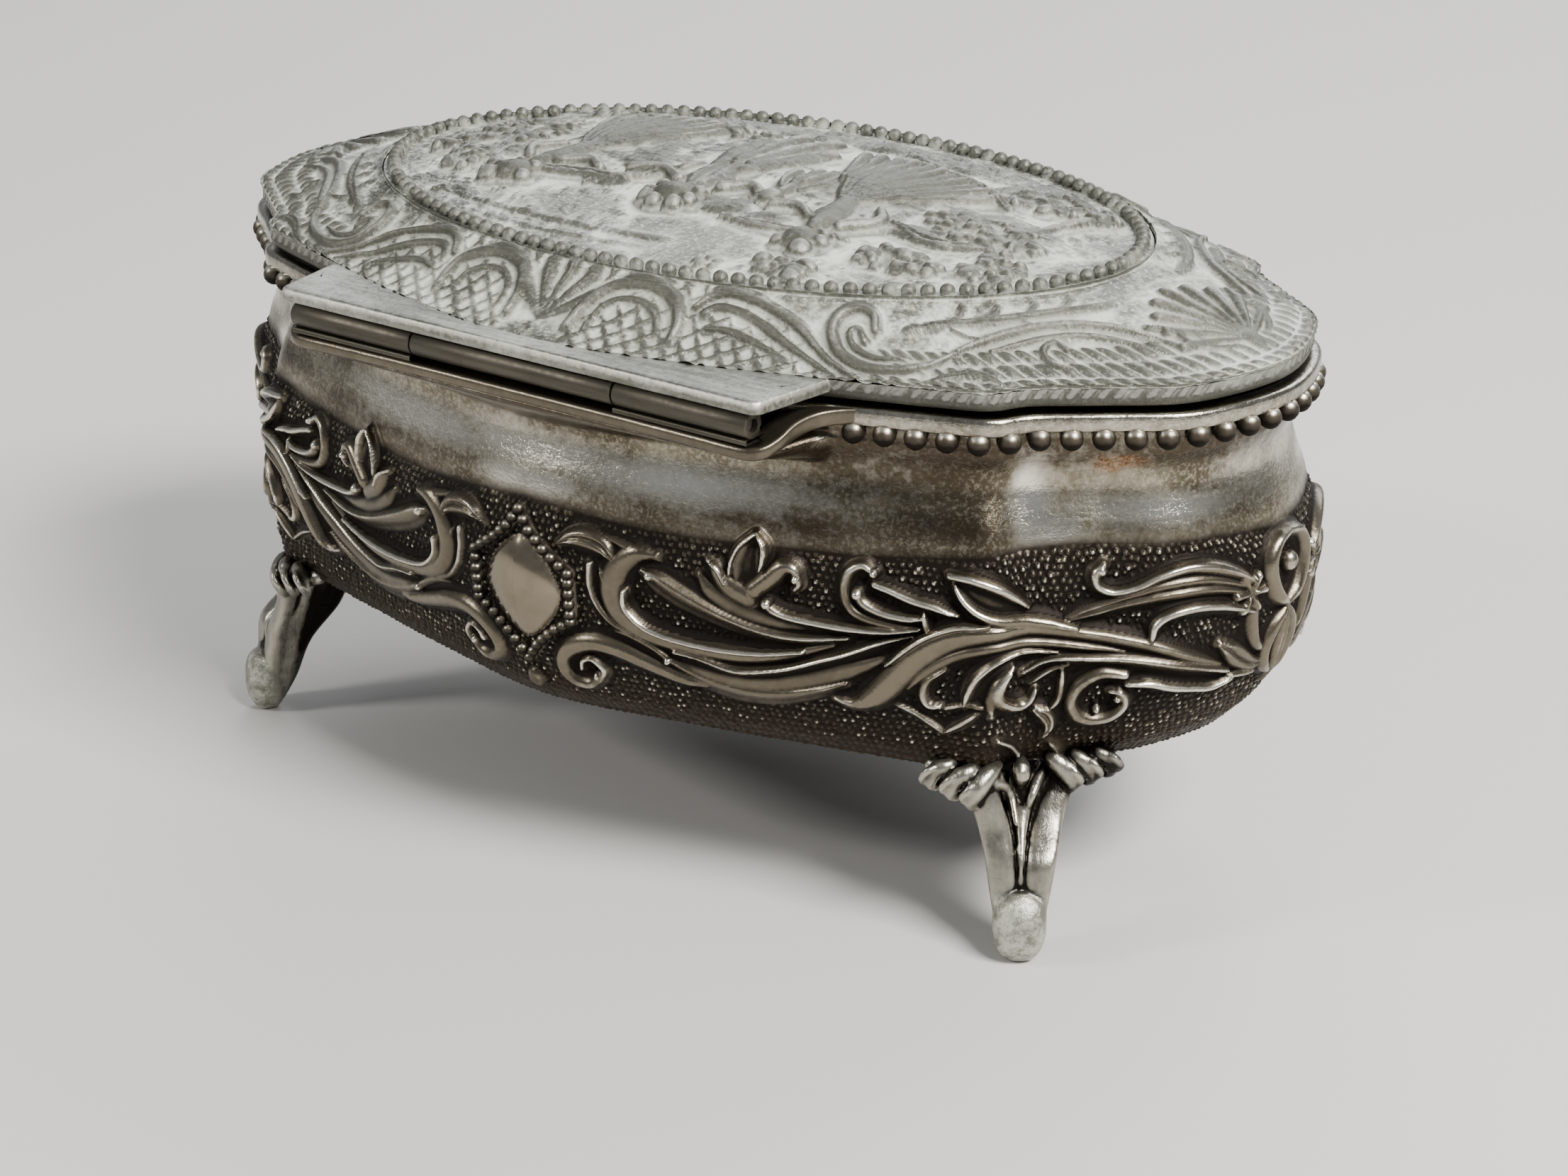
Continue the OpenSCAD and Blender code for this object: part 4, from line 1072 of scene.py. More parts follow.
# Strokes of one quarter of the lid's border: distance from the middle along X and Y
LID_SCROLLS = [
    ([(2.6, 24.8), (2.9, 22.9), (4.2, 21.2), (6.5, 20.5), (8.8, 20.9), (10, 22), (10.3, 23.4)], [0.4,
     0.55, 0.6, 0.6, 0.6, 0.5, 0.3], 0.6),
    ([(3.9, 24.6), (4.1, 23), (5.2, 22), (6.9, 21.8), (8.3, 22.3), (8.9, 23.2)], [0.2, 0.3, 0.3, 0.3,
     0.3, 0.15], 0.45),
    ([(10.6, 20.9), (11.4, 19.7), (13, 19.1), (16, 19.1), (18.5, 19.5), (21, 20.3), (23.5, 20.8)], [0.3,
     0.4, 0.4, 0.35, 0.35, 0.3, 0.2], 0.6),
    ([(11.4, 21), (12.2, 20.3), (14, 20.1), (17, 20.4), (20, 20.9), (22, 21.2)], [0.4, 0.4, 0.4, 0.35,
     0.3, 0.15], 0.5),
    ([(12, 21.9), (13.6, 21.4), (16, 21.3), (18.4, 21.5)], [0.15, 0.3, 0.3, 0.12], 0.45),
    ([(22.6, 17.3), (21.8, 16.4), (20.7, 16.4), (19.9, 17.4), (20.2, 18.7), (21.6, 19.6), (23.6, 19.7),
     (25.6, 19), (27.2, 17.8), (28.2, 16.2)], [0.3, 0.4, 0.45, 0.5, 0.5, 0.5, 0.5, 0.45, 0.4, 0.25],
     0.65),
    ([(22.4, 18.2), (21.5, 17.7), (21.2, 18.2), (22, 18.8), (23.8, 18.8), (25.6, 18)], [0.3, 0.3, 0.3,
     0.3, 0.3, 0.15], 0.5),
    ([(27.8, 19), (29.2, 17.6), (30.6, 16.8), (32, 16.6)], [0.2, 0.45, 0.5, 0.2], 0.5, "leaf"),
    ([(28.2, 15.9), (29.2, 13.6), (30.6, 11.4), (32.4, 9.2), (34.6, 7.4), (37.4, 6)], [0.25, 0.4, 0.45,
     0.45, 0.4, 0.2], 0.6),
    ([(29.8, 14.4), (31.2, 12.3), (33, 10), (35.2, 8.4), (38.4, 7)], [0.2, 0.3, 0.32, 0.3, 0.15], 0.45),
    ([(34.8, 12.4), (33.4, 12.8), (32.4, 12.2), (32.6, 11.2), (33.6, 11.2)], [0.15, 0.3, 0.35, 0.3,
     0.2], 0.5),
    ([(36.2, 5.2), (37.6, 4.4), (39.2, 4.6), (40.4, 3.6), (41.2, 2.2)], [0.2, 0.4, 0.4, 0.4, 0.2], 0.5),
    # feathered leaf between the ring and the side scroll
    ([(24.4, 16), (26.4, 14.2), (28.6, 12), (30.6, 9.4), (32.2, 6.8), (33, 4.6)], [0.2, 0.45, 0.6, 0.6,
     0.45, 0.15], 0.5, "leaf"),
    ([(26.2, 14.2), (26.5, 13.2), (26.2, 12.4)], [0.3, 0.35, 0.1], 0.38),
    ([(27.8, 12.8), (28.2, 11.6), (28, 10.8)], [0.3, 0.35, 0.1], 0.38),
    ([(29.6, 10.8), (29.8, 9.6), (29.6, 8.8)], [0.3, 0.35, 0.1], 0.38),
    ([(31, 8.6), (31.2, 7.4), (30.9, 6.4)], [0.3, 0.35, 0.1], 0.38),
    ([(26.8, 14.6), (28.2, 14.4), (29.2, 13.6)], [0.2, 0.3, 0.1], 0.36),
    ([(30, 11), (31.4, 10.4), (32.2, 9.4)], [0.2, 0.3, 0.1], 0.36),
]


SCALE_ROW = 0.105  # as a share of the way from the lid's edge to its beaded ring
SCALE_PITCH = 1.3
LATTICE_CELL = 1.65
ROPE_PITCH = 1.1


def paint_border(points):
    """The relief between the lid's edge and its beaded ring."""
    x, y = np.abs(points[..., 0]), np.abs(points[..., 1])
    r = Relief(x, y)
    inner = np.linspace(0, 1, LID_ROWS)[:, None] * np.ones_like(x)
    distance = along(outline_at(lid_f, *LID_HALF))
    place = distance[None] * np.ones_like(x)
    # crossed lines of the lattice, between the side scrolls and the edge
    lines = np.maximum(np.abs(np.sin(math.pi * (x + y) / LATTICE_CELL)) ** 6,
                       np.abs(np.sin(math.pi * (x - y) / LATTICE_CELL)) ** 6)
    lattice = unit((y - 19.2) / 0.5) * unit((27.4 - x) / 1)
    lattice *= unit((x - 2.6) / 0.4)
    r.h = 0.22 * lines * lattice
    # rows of slanting scales between the edge and the scrolls, towards the ends
    row = inner / SCALE_ROW
    across = row - np.floor(row)
    slant = place / SCALE_PITCH + 0.5 * np.floor(row) + 0.45 * across
    scales = np.abs(np.sin(math.pi * slant)) ** 0.8 * np.sin(math.pi * across) ** 0.5
    lobe = unit((x - 23) / 1.5) * unit((0.44 - inner) / 0.05)
    r.h = np.maximum(r.h, 0.36 * scales * lobe)
    for points_at, width, height, *style in LID_SCROLLS:
        r.stroke(points_at, np.asarray(width, float) + 0.3, height * 0.45)
        r.stroke(points_at, width, height, *style)
    # upright shell at the middle of each side
    for k, reach in ((0, 4.3), (1, 4.1), (2, 3.6)):
        a = math.radians(27 * k)
        tip = (reach * math.sin(a), 24.6 - reach * math.cos(a))
        r.stroke([(0, 24.8), (tip[0] * 0.6, 24.8 + (tip[1] - 24.8) * 0.6), tip],
                 [0.15, 0.55, 0.85], 0.34)
        r.stroke([(tip[0] * 0.4, 24.8 + (tip[1] - 24.8) * 0.4), tip], [0.1, 0.3], 0.5)
    # shell at each end
    pivot = (41.2, 0)
    for k in range(5):
        a = math.radians(k * 17)
        reach = 6.8 - 0.25 * k
        tip = (pivot[0] - reach * math.cos(a), reach * math.sin(a))
        r.stroke([pivot, ((pivot[0] + tip[0]) / 2, tip[1] / 2), tip], [0.15, 0.4, 0.62], 0.55)
    r.ball(pivot, 1.1, 0.5)
    # rope moulding along the edge
    edge = np.exp(-((inner - 0.04) / 0.03) ** 2)
    behind = (points[..., 1] > 0) * unit((HINGE_GAP - x) / 1.2)
    edge = edge * (1 - behind)
    rope = 0.4 + 0.6 * np.abs(np.sin(math.pi * (place + inner * 18) / ROPE_PITCH)) ** 0.7
    r.h = np.maximum(r.h, 0.34 * edge * rope)
    # plain fillet under the ring's beads
    r.h = np.maximum(r.h, 0.3 * unit((inner - 0.93) / 0.03))
    return r.h


def lid_border():
    """The lid's relief border in four pieces, roughened a little."""
    base = lid_annulus()
    h = paint_border(base)
    rough = rng.normal(0, 1, h.shape)
    h = h + 0.05 * blurred(rough, 2, 1) + 0.16 * blurred(rng.normal(0, 1, h.shape), 5, 1)
    shape = base + grid_normals(base, 2) * h[..., None]
    normal = grid_normals(shape, 2)
    values = relief_values(h, 0.7, 3)
    parts = 4
    step = LID_COLS // parts
    for k in range(parts):
        cut = slice(k * step, (k + 1) * step + 1)
        piece = grid_piece(f"lid_border_{k + 1}", shape[:, cut], "lid",
                           {key: v[:, cut] for key, v in values.items()}, normals=normal[:, cut])
        finish_piece(piece, "dusty_silver", "lid_shell")


lid_border()


def lid_edge():
    """The lid's outer edge, lip and underside."""
    cut, free = STRAIGHT_Y, np.inf
    rows = [ring(LID_HALF[0] - inset, LID_HALF[1] - inset, LID_Z + dz, 0, y_max)
            for dz, inset, y_max in (
                (1.25, 0, free), (1.1, -0.02, free), (0.7, 0, free), (0.42, 0, free), (0.4, 0, cut),
                (0.1, 0.12, cut), (0, 0.3, cut), (0, 2.8, free), (0.3, 2.8, free),
                (1.1, 3.2, free))]
    ticks = [np.abs(np.sin(math.pi * (along(rows[0]) + shift) / 1.05)) for shift in (0, 0.2, 0.5)]
    for row, tick in zip(rows, ticks):
        row[:, :2] *= 1 - (0.16 * (1 - tick) / 40)[:, None]
    for z, a, b, m in ((40.55, 36, 22.2, 0.7), (41.75, 31.5, 19.8, 1), (42.75, 26, 16, 1),
                       (43.75, 14, 9, 1), (44.05, 4, 2.6, 1), (44.1, 0.1, 0.1, 1)):
        rows.append(at_height(rounded_at(ring_f, a, b, m), z))
    p = np.array(rows)
    values = flat_values(p.shape[:2], 0.45)
    values |= {"crest": np.zeros(p.shape[:2]), "crevice_shade": np.zeros(p.shape[:2])}
    # the top rows' ticks get crest values: wear on the rope and a painted glint along the edge
    for k, tick in enumerate(ticks):
        values["crest"][k] = tick
        values["cavity"][k] = 0.7 * (1 - tick) ** 2
    # painted shade: the lid's side band below the edge and its underside are darkened
    values["crevice_shade"][1] = 0.45
    values["crevice_shade"][2:10] = 1.0
    finish_piece(grid_piece("lid_edge", p, "lid", values, flip=True, closed=True), "dusty_silver")


lid_edge()

SCENE_HALF = (31.4, 20.3)


def crown_z(x, y):
    """Height of the plain surface inside the ring."""
    e = unit(np.hypot(x / 29.6, y / 18.8))
    return RING_Z + CROWN_RISE * (1 - e**2)


RING_BEAD_R, RING_BEAD_PITCH = 0.54, 1.3


def lid_ring_beads():
    """The beads round the medallion."""
    a = circle(720)
    line = np.column_stack([RING_HALF[0] * np.cos(a), RING_HALF[1] * np.sin(a)])
    centres = at_height(evenly(line, RING_BEAD_PITCH, closed=True), RING_Z + 0.3)
    finish_piece(bead_piece("lid_ring_beads", centres, RING_BEAD_R, "lid", dusty=True),
                 "dusty_silver")


lid_ring_beads()


def foliage(r, centre, spread, count):
    """A patch of small round leaves."""
    for _ in range(count):
        a, d = rng.uniform(0, 2 * math.pi), math.sqrt(rng.uniform(0, 1))
        at = (centre[0] + spread[0] * d * math.cos(a), centre[1] + spread[1] * d * math.sin(a))
        r.ball(at, rng.uniform(0.4, 0.95), rng.uniform(0.45, 0.95), rng.uniform(0.6, 1.2))


def skirt(r, waist, hem_from, hem_to, folds, height):
    """Folds that spread from a waist to a hem."""
    middle = [(waist[i] + (hem_from[i] + hem_to[i]) / 2) / 2 for i in (0, 1)]
    r.ball(middle, abs(hem_to[0] - hem_from[0]) * 0.44, height * 0.95,
           abs(waist[1] - middle[1]) / abs(hem_to[0] - hem_from[0]) * 2.3)
    for k in range(folds):
        share = k / (folds - 1)
        hem = [hem_from[i] + (hem_to[i] - hem_from[i]) * share for i in (0, 1)]
        drop = 1.2 * math.sin(math.pi * share)
        knee = ((waist[0] + hem[0]) / 2 + (share - 0.5) * 1.5, (waist[1] + hem[1]) / 2)
        fold = [(waist[0] + (share - 0.5) * 1.6, waist[1]), knee, (hem[0], hem[1] - drop)]
        r.stroke(fold, [0.5, 0.85, 0.95], height * 0.7)
        r.stroke(fold, [0.2, 0.45, 0.6], height * (0.3 + 0.1 * (k % 2)), add=True)


def paint_scene(x, y):
    """A generic garden party in relief: it reads upright from the front of the box."""
    r = Relief(x, y)
    # rising ground and distant hills
    for path, width, height in (
            ([(-24, -9), (-14, -12.5), (0, -13.6), (14, -12.6), (24, -9)], 1.5, 0.45),
            ([(-20, -12.6), (-6, -15.4), (8, -15.4), (20, -12.8)], 1.1, 0.35),
            ([(-27, -1), (-22, 0.6), (-17, -0.4)], 1.4, 0.3),
            ([(17, -1), (22, 1), (27, 0)], 1.4, 0.3),
            ([(-3, 14.4), (4, 14.9), (12, 14.2), (19, 12.6)], 0.5, 0.22),
            ([(-2, 16.2), (5, 16.6), (12, 15.9)], 0.35, 0.18),
            ([(16, 13), (17.5, 12.3), (19.4, 12.6)], 0.7, 0.35)):
        r.stroke(path, width, height)
    # mounds that the groups stand on, and rocks
    for centre, radius, height, squeeze in (((-20, 0), 6.5, 0.55, 0.6), ((-20, -9), 6, 0.5, 0.55),
                                            ((-10, 0), 7, 0.5, 0.9), ((3, -4), 6, 0.45, 1.2),
                                            ((14, -3), 7, 0.5, 1.2), ((22.5, 1), 5.5, 0.5, 1.1),
                                            ((-3, 7.4), 3.2, 0.55, 0.55), ((-7.4, 8), 3, 0.6, 0.6),
                                            ((8, 1), 3.4, 0.6, 0.8), ((8.6, 6.8), 2.4, 0.5, 0.5),
                                            ((-17, 4.4), 2.6, 0.6, 0.6), ((20, 4.2), 2.6, 0.6, 0.7)):
        r.ball(centre, radius, height, squeeze)
    for path, width in (([(18.6, 8.6), (13, 6.8), (7, 6.6)], [0.5, 0.9, 0.4]),
                        ([(9.5, 8), (6, 5), (4, 1)], [0.3, 0.7, 0.4]),
                        ([(-4, 9.4), (-8, 9.6), (-14, 8.4)], [0.3, 0.6, 0.3]),
                        ([(-15, 4), (-19, 5.4), (-23, 4)], [0.4, 0.8, 0.4]),
                        ([(22, -7), (24.4, 0), (22.6, 8)], [0.4, 0.8, 0.4]),
                        ([(20, -6), (21.6, 0), (20.4, 6)], [0.3, 0.6, 0.3]),
                        ([(-6, -10), (-13, -8.4), (-19, -4.6)], [0.4, 0.8, 0.4])):
        r.stroke(path, width, 0.8, "leaf")
    for centre, spread, count in (((-20.5, 1.4), (4.6, 2.6), 60), ((-21, -8), (4.4, 2.4), 46),
                                  ((-19, 9.4), (3.2, 1.7), 30), ((-24.6, 6), (1.9, 2.6), 26),
                                  ((-13, 14.8), (2.2, 1.3), 18), ((22.6, -1), (3.4, 3.6), 56),
                                  ((21, 7.2), (3, 1.6), 26), ((24.8, 4), (2, 2.4), 22),
                                  ((19.6, -9.4), (3, 2), 26), ((8, -9.8), (2.6, 1.6), 22)):
        foliage(r, centre, spread, count)
    for path in ([(-24.4, -8), (-23.4, -2), (-24, 4)], [(24, -8), (23, -2), (23.6, 4)]):
        r.stroke(path, [0.7, 0.5, 0.4], 0.7)
    # woman on the right
    skirt(r, (14.4, 1.6), (8.6, -10), (19.6, -9.4), 8, 0.85)
    r.stroke([(15.4, 7), (14.8, 4.6), (14.4, 1.8)], [0.9, 1.7, 1.2], 1.05)
    r.stroke([(13.8, 5.8), (11.9, 4.4), (10.2, 5.4)], 0.62, 1.05)
    r.stroke([(16.6, 5.6), (18.2, 3.4), (16.8, 1.4)], 0.6, 0.95)
    r.ball((15.7, 8.7), 1.75, 1.35)
    r.ball((16.9, 9.9), 1.1, 1.15)
    for at in ((14.2, 9.4), (17.2, 8.2), (16.2, 7.2), (14.6, 7.6)):
        r.ball(at, 0.8, 1.1)
    # man in the middle
    for path, width in (([(0.8, 1), (-0.6, -3), (-1.6, -7.2)], [0.9, 1.3, 0.9]),
                        ([(2.8, 1), (4, -3), (4.6, -7.4)], [0.9, 1.3, 0.9]),
                        ([(1.1, -1), (0.9, -6), (0.4, -11)], 0.8),
                        ([(2.5, -1), (3, -6), (3.4, -11)], 0.8)):
        r.stroke(path, width, 0.85)
    r.stroke([(1.2, 6), (1.7, 3.2), (1.9, 0.6)], [1.1, 2, 1.4], 1.1, "leaf")
    r.stroke([(3, 5.2), (5.4, 3.8), (7.6, 4.9)], 0.62, 1.1)
    r.stroke([(-0.6, 5), (-2.4, 3.6), (-3.8, 4.6)], 0.6, 1.0)
    r.ball((1.3, 8), 1.85, 1.45)
    for at in ((-0.4, 8.6), (3, 8.6), (-0.2, 7.2), (2.9, 7.1)):
        r.ball(at, 0.85, 1.15)
    for at in ((0.2, 9.6), (1.7, 9.9), (2.8, 9.3)):
        r.ball(at, 0.8, 1.2)
    # seated woman on the left, with a child at her knee
    skirt(r, (-10, 2.6), (-17.4, -6), (-3.6, -9), 11, 0.9)
    r.stroke([(-11.3, 8.8), (-10.8, 6), (-10.2, 3)], [0.8, 1.6, 1.3], 1.05)
    r.stroke([(-9.8, 7), (-7.8, 5.4), (-6, 6)], 0.6, 1.0)
    r.stroke([(-12.4, 7), (-14.2, 4.8), (-13, 2.8)], 0.62, 1.0)
    r.ball((-11.6, 10.5), 1.6, 1.3)
    r.ball((-12.4, 11.7), 1.0, 1.1)
    for at in ((-10.4, 11.4), (-13, 10.2), (-12.6, 9.2)):
        r.ball(at, 0.75, 1.05)
    skirt(r, (-5, 2.6), (-6.8, -1.2), (-3, -1.2), 4, 0.85)
    r.stroke([(-5, 4), (-5, 2.2)], [0.7, 1], 0.95)
    r.ball((-5, 4.9), 1.1, 1.2)
    r.ball((-7, 8), 1.6, 0.7, 0.75)
    r.ball((-3.6, 7.6), 1.0, 0.6)
    # flower near the ring
    for k in range(5):
        a = k * 2 * math.pi / 5
        r.ball((-8 + 0.8 * math.cos(a), 16.3 + 0.6 * math.sin(a)), 0.5, 0.4)
    return r.h


def lid_scene():
    """The medallion inside the ring, in two halves."""
    n_x, n_y = 420, 272
    uu, vv = np.meshgrid(np.linspace(-1, 1, n_x), np.linspace(-1, 1, n_y))
    # a square grid bent into a disc
    dx = uu * np.sqrt(1 - vv**2 / 2)
    dy = vv * np.sqrt(1 - uu**2 / 2)
    x, y = dx * SCENE_HALF[0], dy * SCENE_HALF[1]
    h = paint_scene(x, y)
    sky = unit((y - 9.5) / 2) * unit((x + 11) / 2) * unit((3 - x) / 3)
    grass = blurred(rng.normal(0, 1, h.shape), 4, 1) * 4 + blurred(rng.normal(0, 1, h.shape), 2, 1)
    h = h + (0.035 + 0.12 * (1 - sky)) * np.clip(grass, -1.2, 2) * np.clip(1.4 - h, 0.35, 1)
    inside = unit((1 - np.hypot(x / RING_HALF[0], y / RING_HALF[1])) / 0.05)
    h = np.clip(h, 0, 1.9) * inside
    base = np.stack([x, y, crown_z(x, y)], -1)
    shape = base + np.stack([0 * h, 0 * h, h], -1)
    normal = grid_normals(shape, 2)
    values = relief_values(h, 1.2, 4)
    half = n_x // 2
    for name, cut in (("right", slice(0, half + 1)), ("left", slice(half, n_x))):
        piece = grid_piece("lid_scene_" + name, shape[:, cut], "lid",
                           {key: v[:, cut] for key, v in values.items()}, normals=normal[:, cut])
        finish_piece(piece, "dusty_silver", "lid_shell")


lid_scene()

# ---- legs ------------------------------------------------------------------------------

LEG_TOES = {"leg_back_left": ((35.3, 17.5), 55), "leg_back_right": ((-35.3, 17.5), 125),
            "leg_front": ((0, -25), -90)}
LEG_VOXEL = 0.13


def lower_edge(toe, turn_deg):
    """How far out the body's lower edge is, in a leg's own frame, at a distance sideways."""
    level, b, swell = body_level(13.1)
    line = outline_at(fine_f, level, b, swell) - toe
    a = math.radians(turn_deg)
    out = line @ (math.cos(a), math.sin(a))
    side = line @ (-math.sin(a), math.cos(a))
    near = (np.abs(side) < 12) & (out > -14)
    order = np.argsort(side[near])
    return lambda at: float(np.interp(at, side[near][order], out[near][order]))


def loft(rows, around, squareness=2.6):
    """A closed upright shape through rows of height, middle x and y, and half sizes."""
    c = spline(rows, 0.3)
    angle = circle(around)
    ca = np.sign(np.cos(angle)) * np.abs(np.cos(angle)) ** (2 / squareness)
    sa = np.sign(np.sin(angle)) * np.abs(np.sin(angle)) ** (2 / squareness)
    p = np.array([np.column_stack([x + half_x * ca, y + half_y * sa, np.full(around, z)])
                  for z, x, y, half_x, half_y in c])
    return p.reshape(-1, 3), capped(len(p), around)


def leg_parts(edge):
    """Overlapping shapes of one leg, standing at its toe with its face towards +X."""
    mid = edge(0)
    back = min(mid - 2.2, -5.0)
    parts = [
        # toe with its shield, and the deep fin behind the ribs
        loft([(0.05, 0, 0, 0.6, 0.7), (0.35, 0, 0, 1.0, 1.12), (1.0, 0.05, 0, 1.38, 1.55),
              (2.0, 0.05, 0, 1.56, 1.82), (3.2, 0.0, 0, 1.6, 1.84), (4.2, -0.2, 0, 1.5, 1.72),
              (4.7, -0.4, 0, 1.3, 1.3), (5.1, -0.6, 0, 1.0, 0.7)], 30),
        loft([(0.9, -0.3, 0, 1.0, 1.1), (3.0, -0.95, 0, 1.4, 1.75), (6.0, -2.0, 0, 1.6, 2.1),
              (9.0, (back - 2.0) / 2, 0, 1.75, 2.75), (11.0, (back + mid) / 2 + 0.2, 0, 1.5, 3.0),
              (12.1, (back + mid) / 2, 0, 1.0, 2.6)], 30, 5.0),
        # leaf between the ribs
        loft([(4.0, -0.1, 0, 0.4, 0.12), (5.4, -0.45, 0.0, 0.45, 0.16), (7.2, -0.7, 0.02, 0.5, 0.22),
              (9.0, (mid - 0.8) * 0.42, 0.06, 0.5, 0.42), (10.6, mid * 0.7 - 0.2, 0.1, 0.5, 0.8),
              (11.8, mid + 0.4, 0.1, 0.5, 1.0), (12.7, mid + 0.2, 0.1, 0.4, 0.5)], 20, 2.0),
        tube([(mid, 0, 13.2, 0.3), (mid + 0.8, 0, 12.8, 0.62), (mid + 1.1, 0, 12.2, 0.55),
              (mid + 0.9, 0, 11.4, 0.15)])]
    for side in (-1, 1):
        top = edge(side * 3.2)
        knee = (top - 0.9) / 2
        parts += [
            # rib, and the flange that runs from the leaf over its top
            loft([(2.6, -0.2, side * 0.8, 0.9, 0.9), (5.0, -0.55, side * 1.14, 0.8, 0.98),
                  (7.2, -0.9, side * 1.42, 0.75, 1.04), (9.2, knee - 0.1, side * 1.85, 0.75, 1.1),
                  (10.8, knee + (top - knee) * 0.55, side * 2.4, 0.78, 1.1),
                  (12.3, top - 0.1, side * 3.0, 0.8, 1.2)], 26, 2.8),
            tube([(knee + 0.2, side * 0.35, 9.6, 0.2), (mid * 0.7 + 0.35, side * 0.75, 11.2, 0.3),
                  (top + 0.3, side * 1.7, 12.4, 0.4), (top + 0.6, side * 2.6, 12.6, 0.36)]),
            # flat flank from the rib to the fin's back
            loft([(2.2, -0.6, side * 0.72, 1.1, 0.9), (5.0, -1.45, side * 1.1, 1.35, 0.96),
                  (7.2, -2.1, side * 1.42, 1.5, 1.0), (9.2, (knee + back) / 2 + 0.5, side * 1.9, 1.5, 1.05),
                  (11.0, (top + back) / 2 + 0.3, side * 2.4, 1.4, 1.0),
                  (12.2, (top + back) / 2 + 0.1, side * 2.6, 1.0, 0.8)], 26, 5.0),
            tube([(top - 0.2, side * 2, 12.3, 0.85), (edge(side * 4.5) - 0.1, side * 4.5, 12.5, 0.8),
                  (edge(side * 6) - 0.2, side * 6, 12.9, 0.6)])]
        for k in range(3):
            at = 2.35 + 1.36 * k
            big = 0.74 - 0.07 * k
            rise = 0.42 * k
            x, further = edge(side * at), edge(side * (at + 0.9))
            parts.append(tube([
                (x - 0.4, side * (at - 0.7), 13.3 + 0.1 * k, big * 0.5),
                (x + 0.75, side * (at - 0.1), 13.2 + 0.15 * k, big * 0.85),
                (further + 1.15, side * (at + 0.75), 12.35 + rise, big),
                (further + 1.0, side * (at + 1.15), 11.4 + rise, big * 0.8),
                (further + 0.7, side * (at + 0.8), 10.8 + rise, big * 0.5),
                (further + 0.7, side * (at + 0.25), 11.1 + rise, 0.2)]))
            parts.append(tube([
                (x + 0.9, side * (at + 0.6), 13.2 + 0.15 * k, 0.26),
                (further + 1.65, side * (at + 1.3), 12.5 + rise, 0.28),
                (further + 1.35, side * (at + 1.75), 11.75 + rise, 0.26),
                (further + 0.9, side * (at + 1.6), 11.2 + rise, 0.16)]))
    return parts


def legs():
    """Each leg's skin, turned and moved to its toe's place."""
    for name, (toe, turn_deg) in LEG_TOES.items():
        points, quads = fused(leg_parts(lower_edge(toe, turn_deg)), LEG_VOXEL)
        points[:, 2] = np.maximum(points[:, 2], 0)
        values = hollow_values(points, quads)
        front = np.clip((points[:, 0] + 0.5) / 0.8, 0.2, 1)
        values["pale"] = unit((5.3 - points[:, 2]) / 0.8) * front
        # painted shade on the back and flanks of each leg, carried in the cavity value
        behind = unit((-0.9 - 0.2 * points[:, 2] - points[:, 0]) / 0.7)
        values["cavity"] = np.maximum(values["cavity"], 0.42 * behind)
        a = math.radians(turn_deg)
        turned = np.column_stack([points[:, 0] * math.cos(a) - points[:, 1] * math.sin(a) + toe[0],
                                  points[:, 0] * math.sin(a) + points[:, 1] * math.cos(a) + toe[1],
                                  points[:, 2]])
        finish_piece(mesh_piece(name + "_cast", turned, quads, "body", values),
                     "leg_silver", name)


legs()

# ---- hinge -----------------------------------------------------------------------------

KNUCKLES = {"hinge_knuckle_left": (8.95, 20, "body"), "hinge_knuckle_right": (-20, -8.95, "body"),
            "hinge_knuckle_centre": (-8.8, 8.8, "lid")}
BARREL_R = 0.94
PIN_HOLE_R = 0.47


def strip(corners, x_from, x_to):
    """A bar along X whose section is a closed loop of (y, z) corners."""
    n = len(corners)
    points = np.vstack([np.column_stack([np.full(n, x), corners]) for x in (x_from, x_to)])
    faces = [(k, (k + 1) % n, n + (k + 1) % n, n + k) for k in range(n)]
    return points, faces


def knuckle(name, x_from, x_to, body):
    """A rolled knuckle: a curled sheet with its seam, open at the pin hole."""
    around = 56
    angle = circle(around)
    seam = math.radians(205 if body == "body" else 70)
    gap = np.abs((angle - seam + math.pi) % (2 * math.pi) - math.pi)
    wave = 0.012 * np.sin(angle * 3 + 1)
    outer = BARREL_R + wave - 0.13 * np.exp(-(gap / 0.12) ** 2)
    rows = []
    length = x_to - x_from
    for x, share in ((0, 0), (0, 0.8), (0.02, 0.93), (0.08, 1), (length * 0.3, 1.0),
                     (length * 0.6, 0.995), (length - 0.08, 1), (length - 0.02, 0.93),
                     (length, 0.8), (length, 0)):
        r = PIN_HOLE_R + (outer - PIN_HOLE_R) * share
        rows.append(np.column_stack([np.full(around, x_from + x), HINGE_Y + r * np.cos(angle),
                                     HINGE_Z + r * np.sin(angle)]))
    points = np.vstack(rows + rows[:1])
    faces = grid_faces(len(rows) + 1, around, closed=True)
    if body == "body":
        leaf = [(26.1, 36.92), (28.02, 36.92), (28.05, 37.0), (28.05, 37.22), (28.0, 37.27),
                (27.9, 37.3), (26.1, 37.3)]
    else:
        leaf = [(26.85, 38.9), (27.7, 38.9), (27.7, 39.19), (26.85, 39.19)]
    more, more_faces = strip(leaf, x_from, x_to)
    faces = np.vstack([faces, np.array(more_faces) + len(points)])
    piece = mesh_piece(name + "_rolled", np.vstack([points, more]), faces, body)
    return finish_piece(piece, "hinge_metal", name)


for knuckle_name, (from_x, to_x, rides) in KNUCKLES.items():
    knuckle(knuckle_name, from_x, to_x, rides)

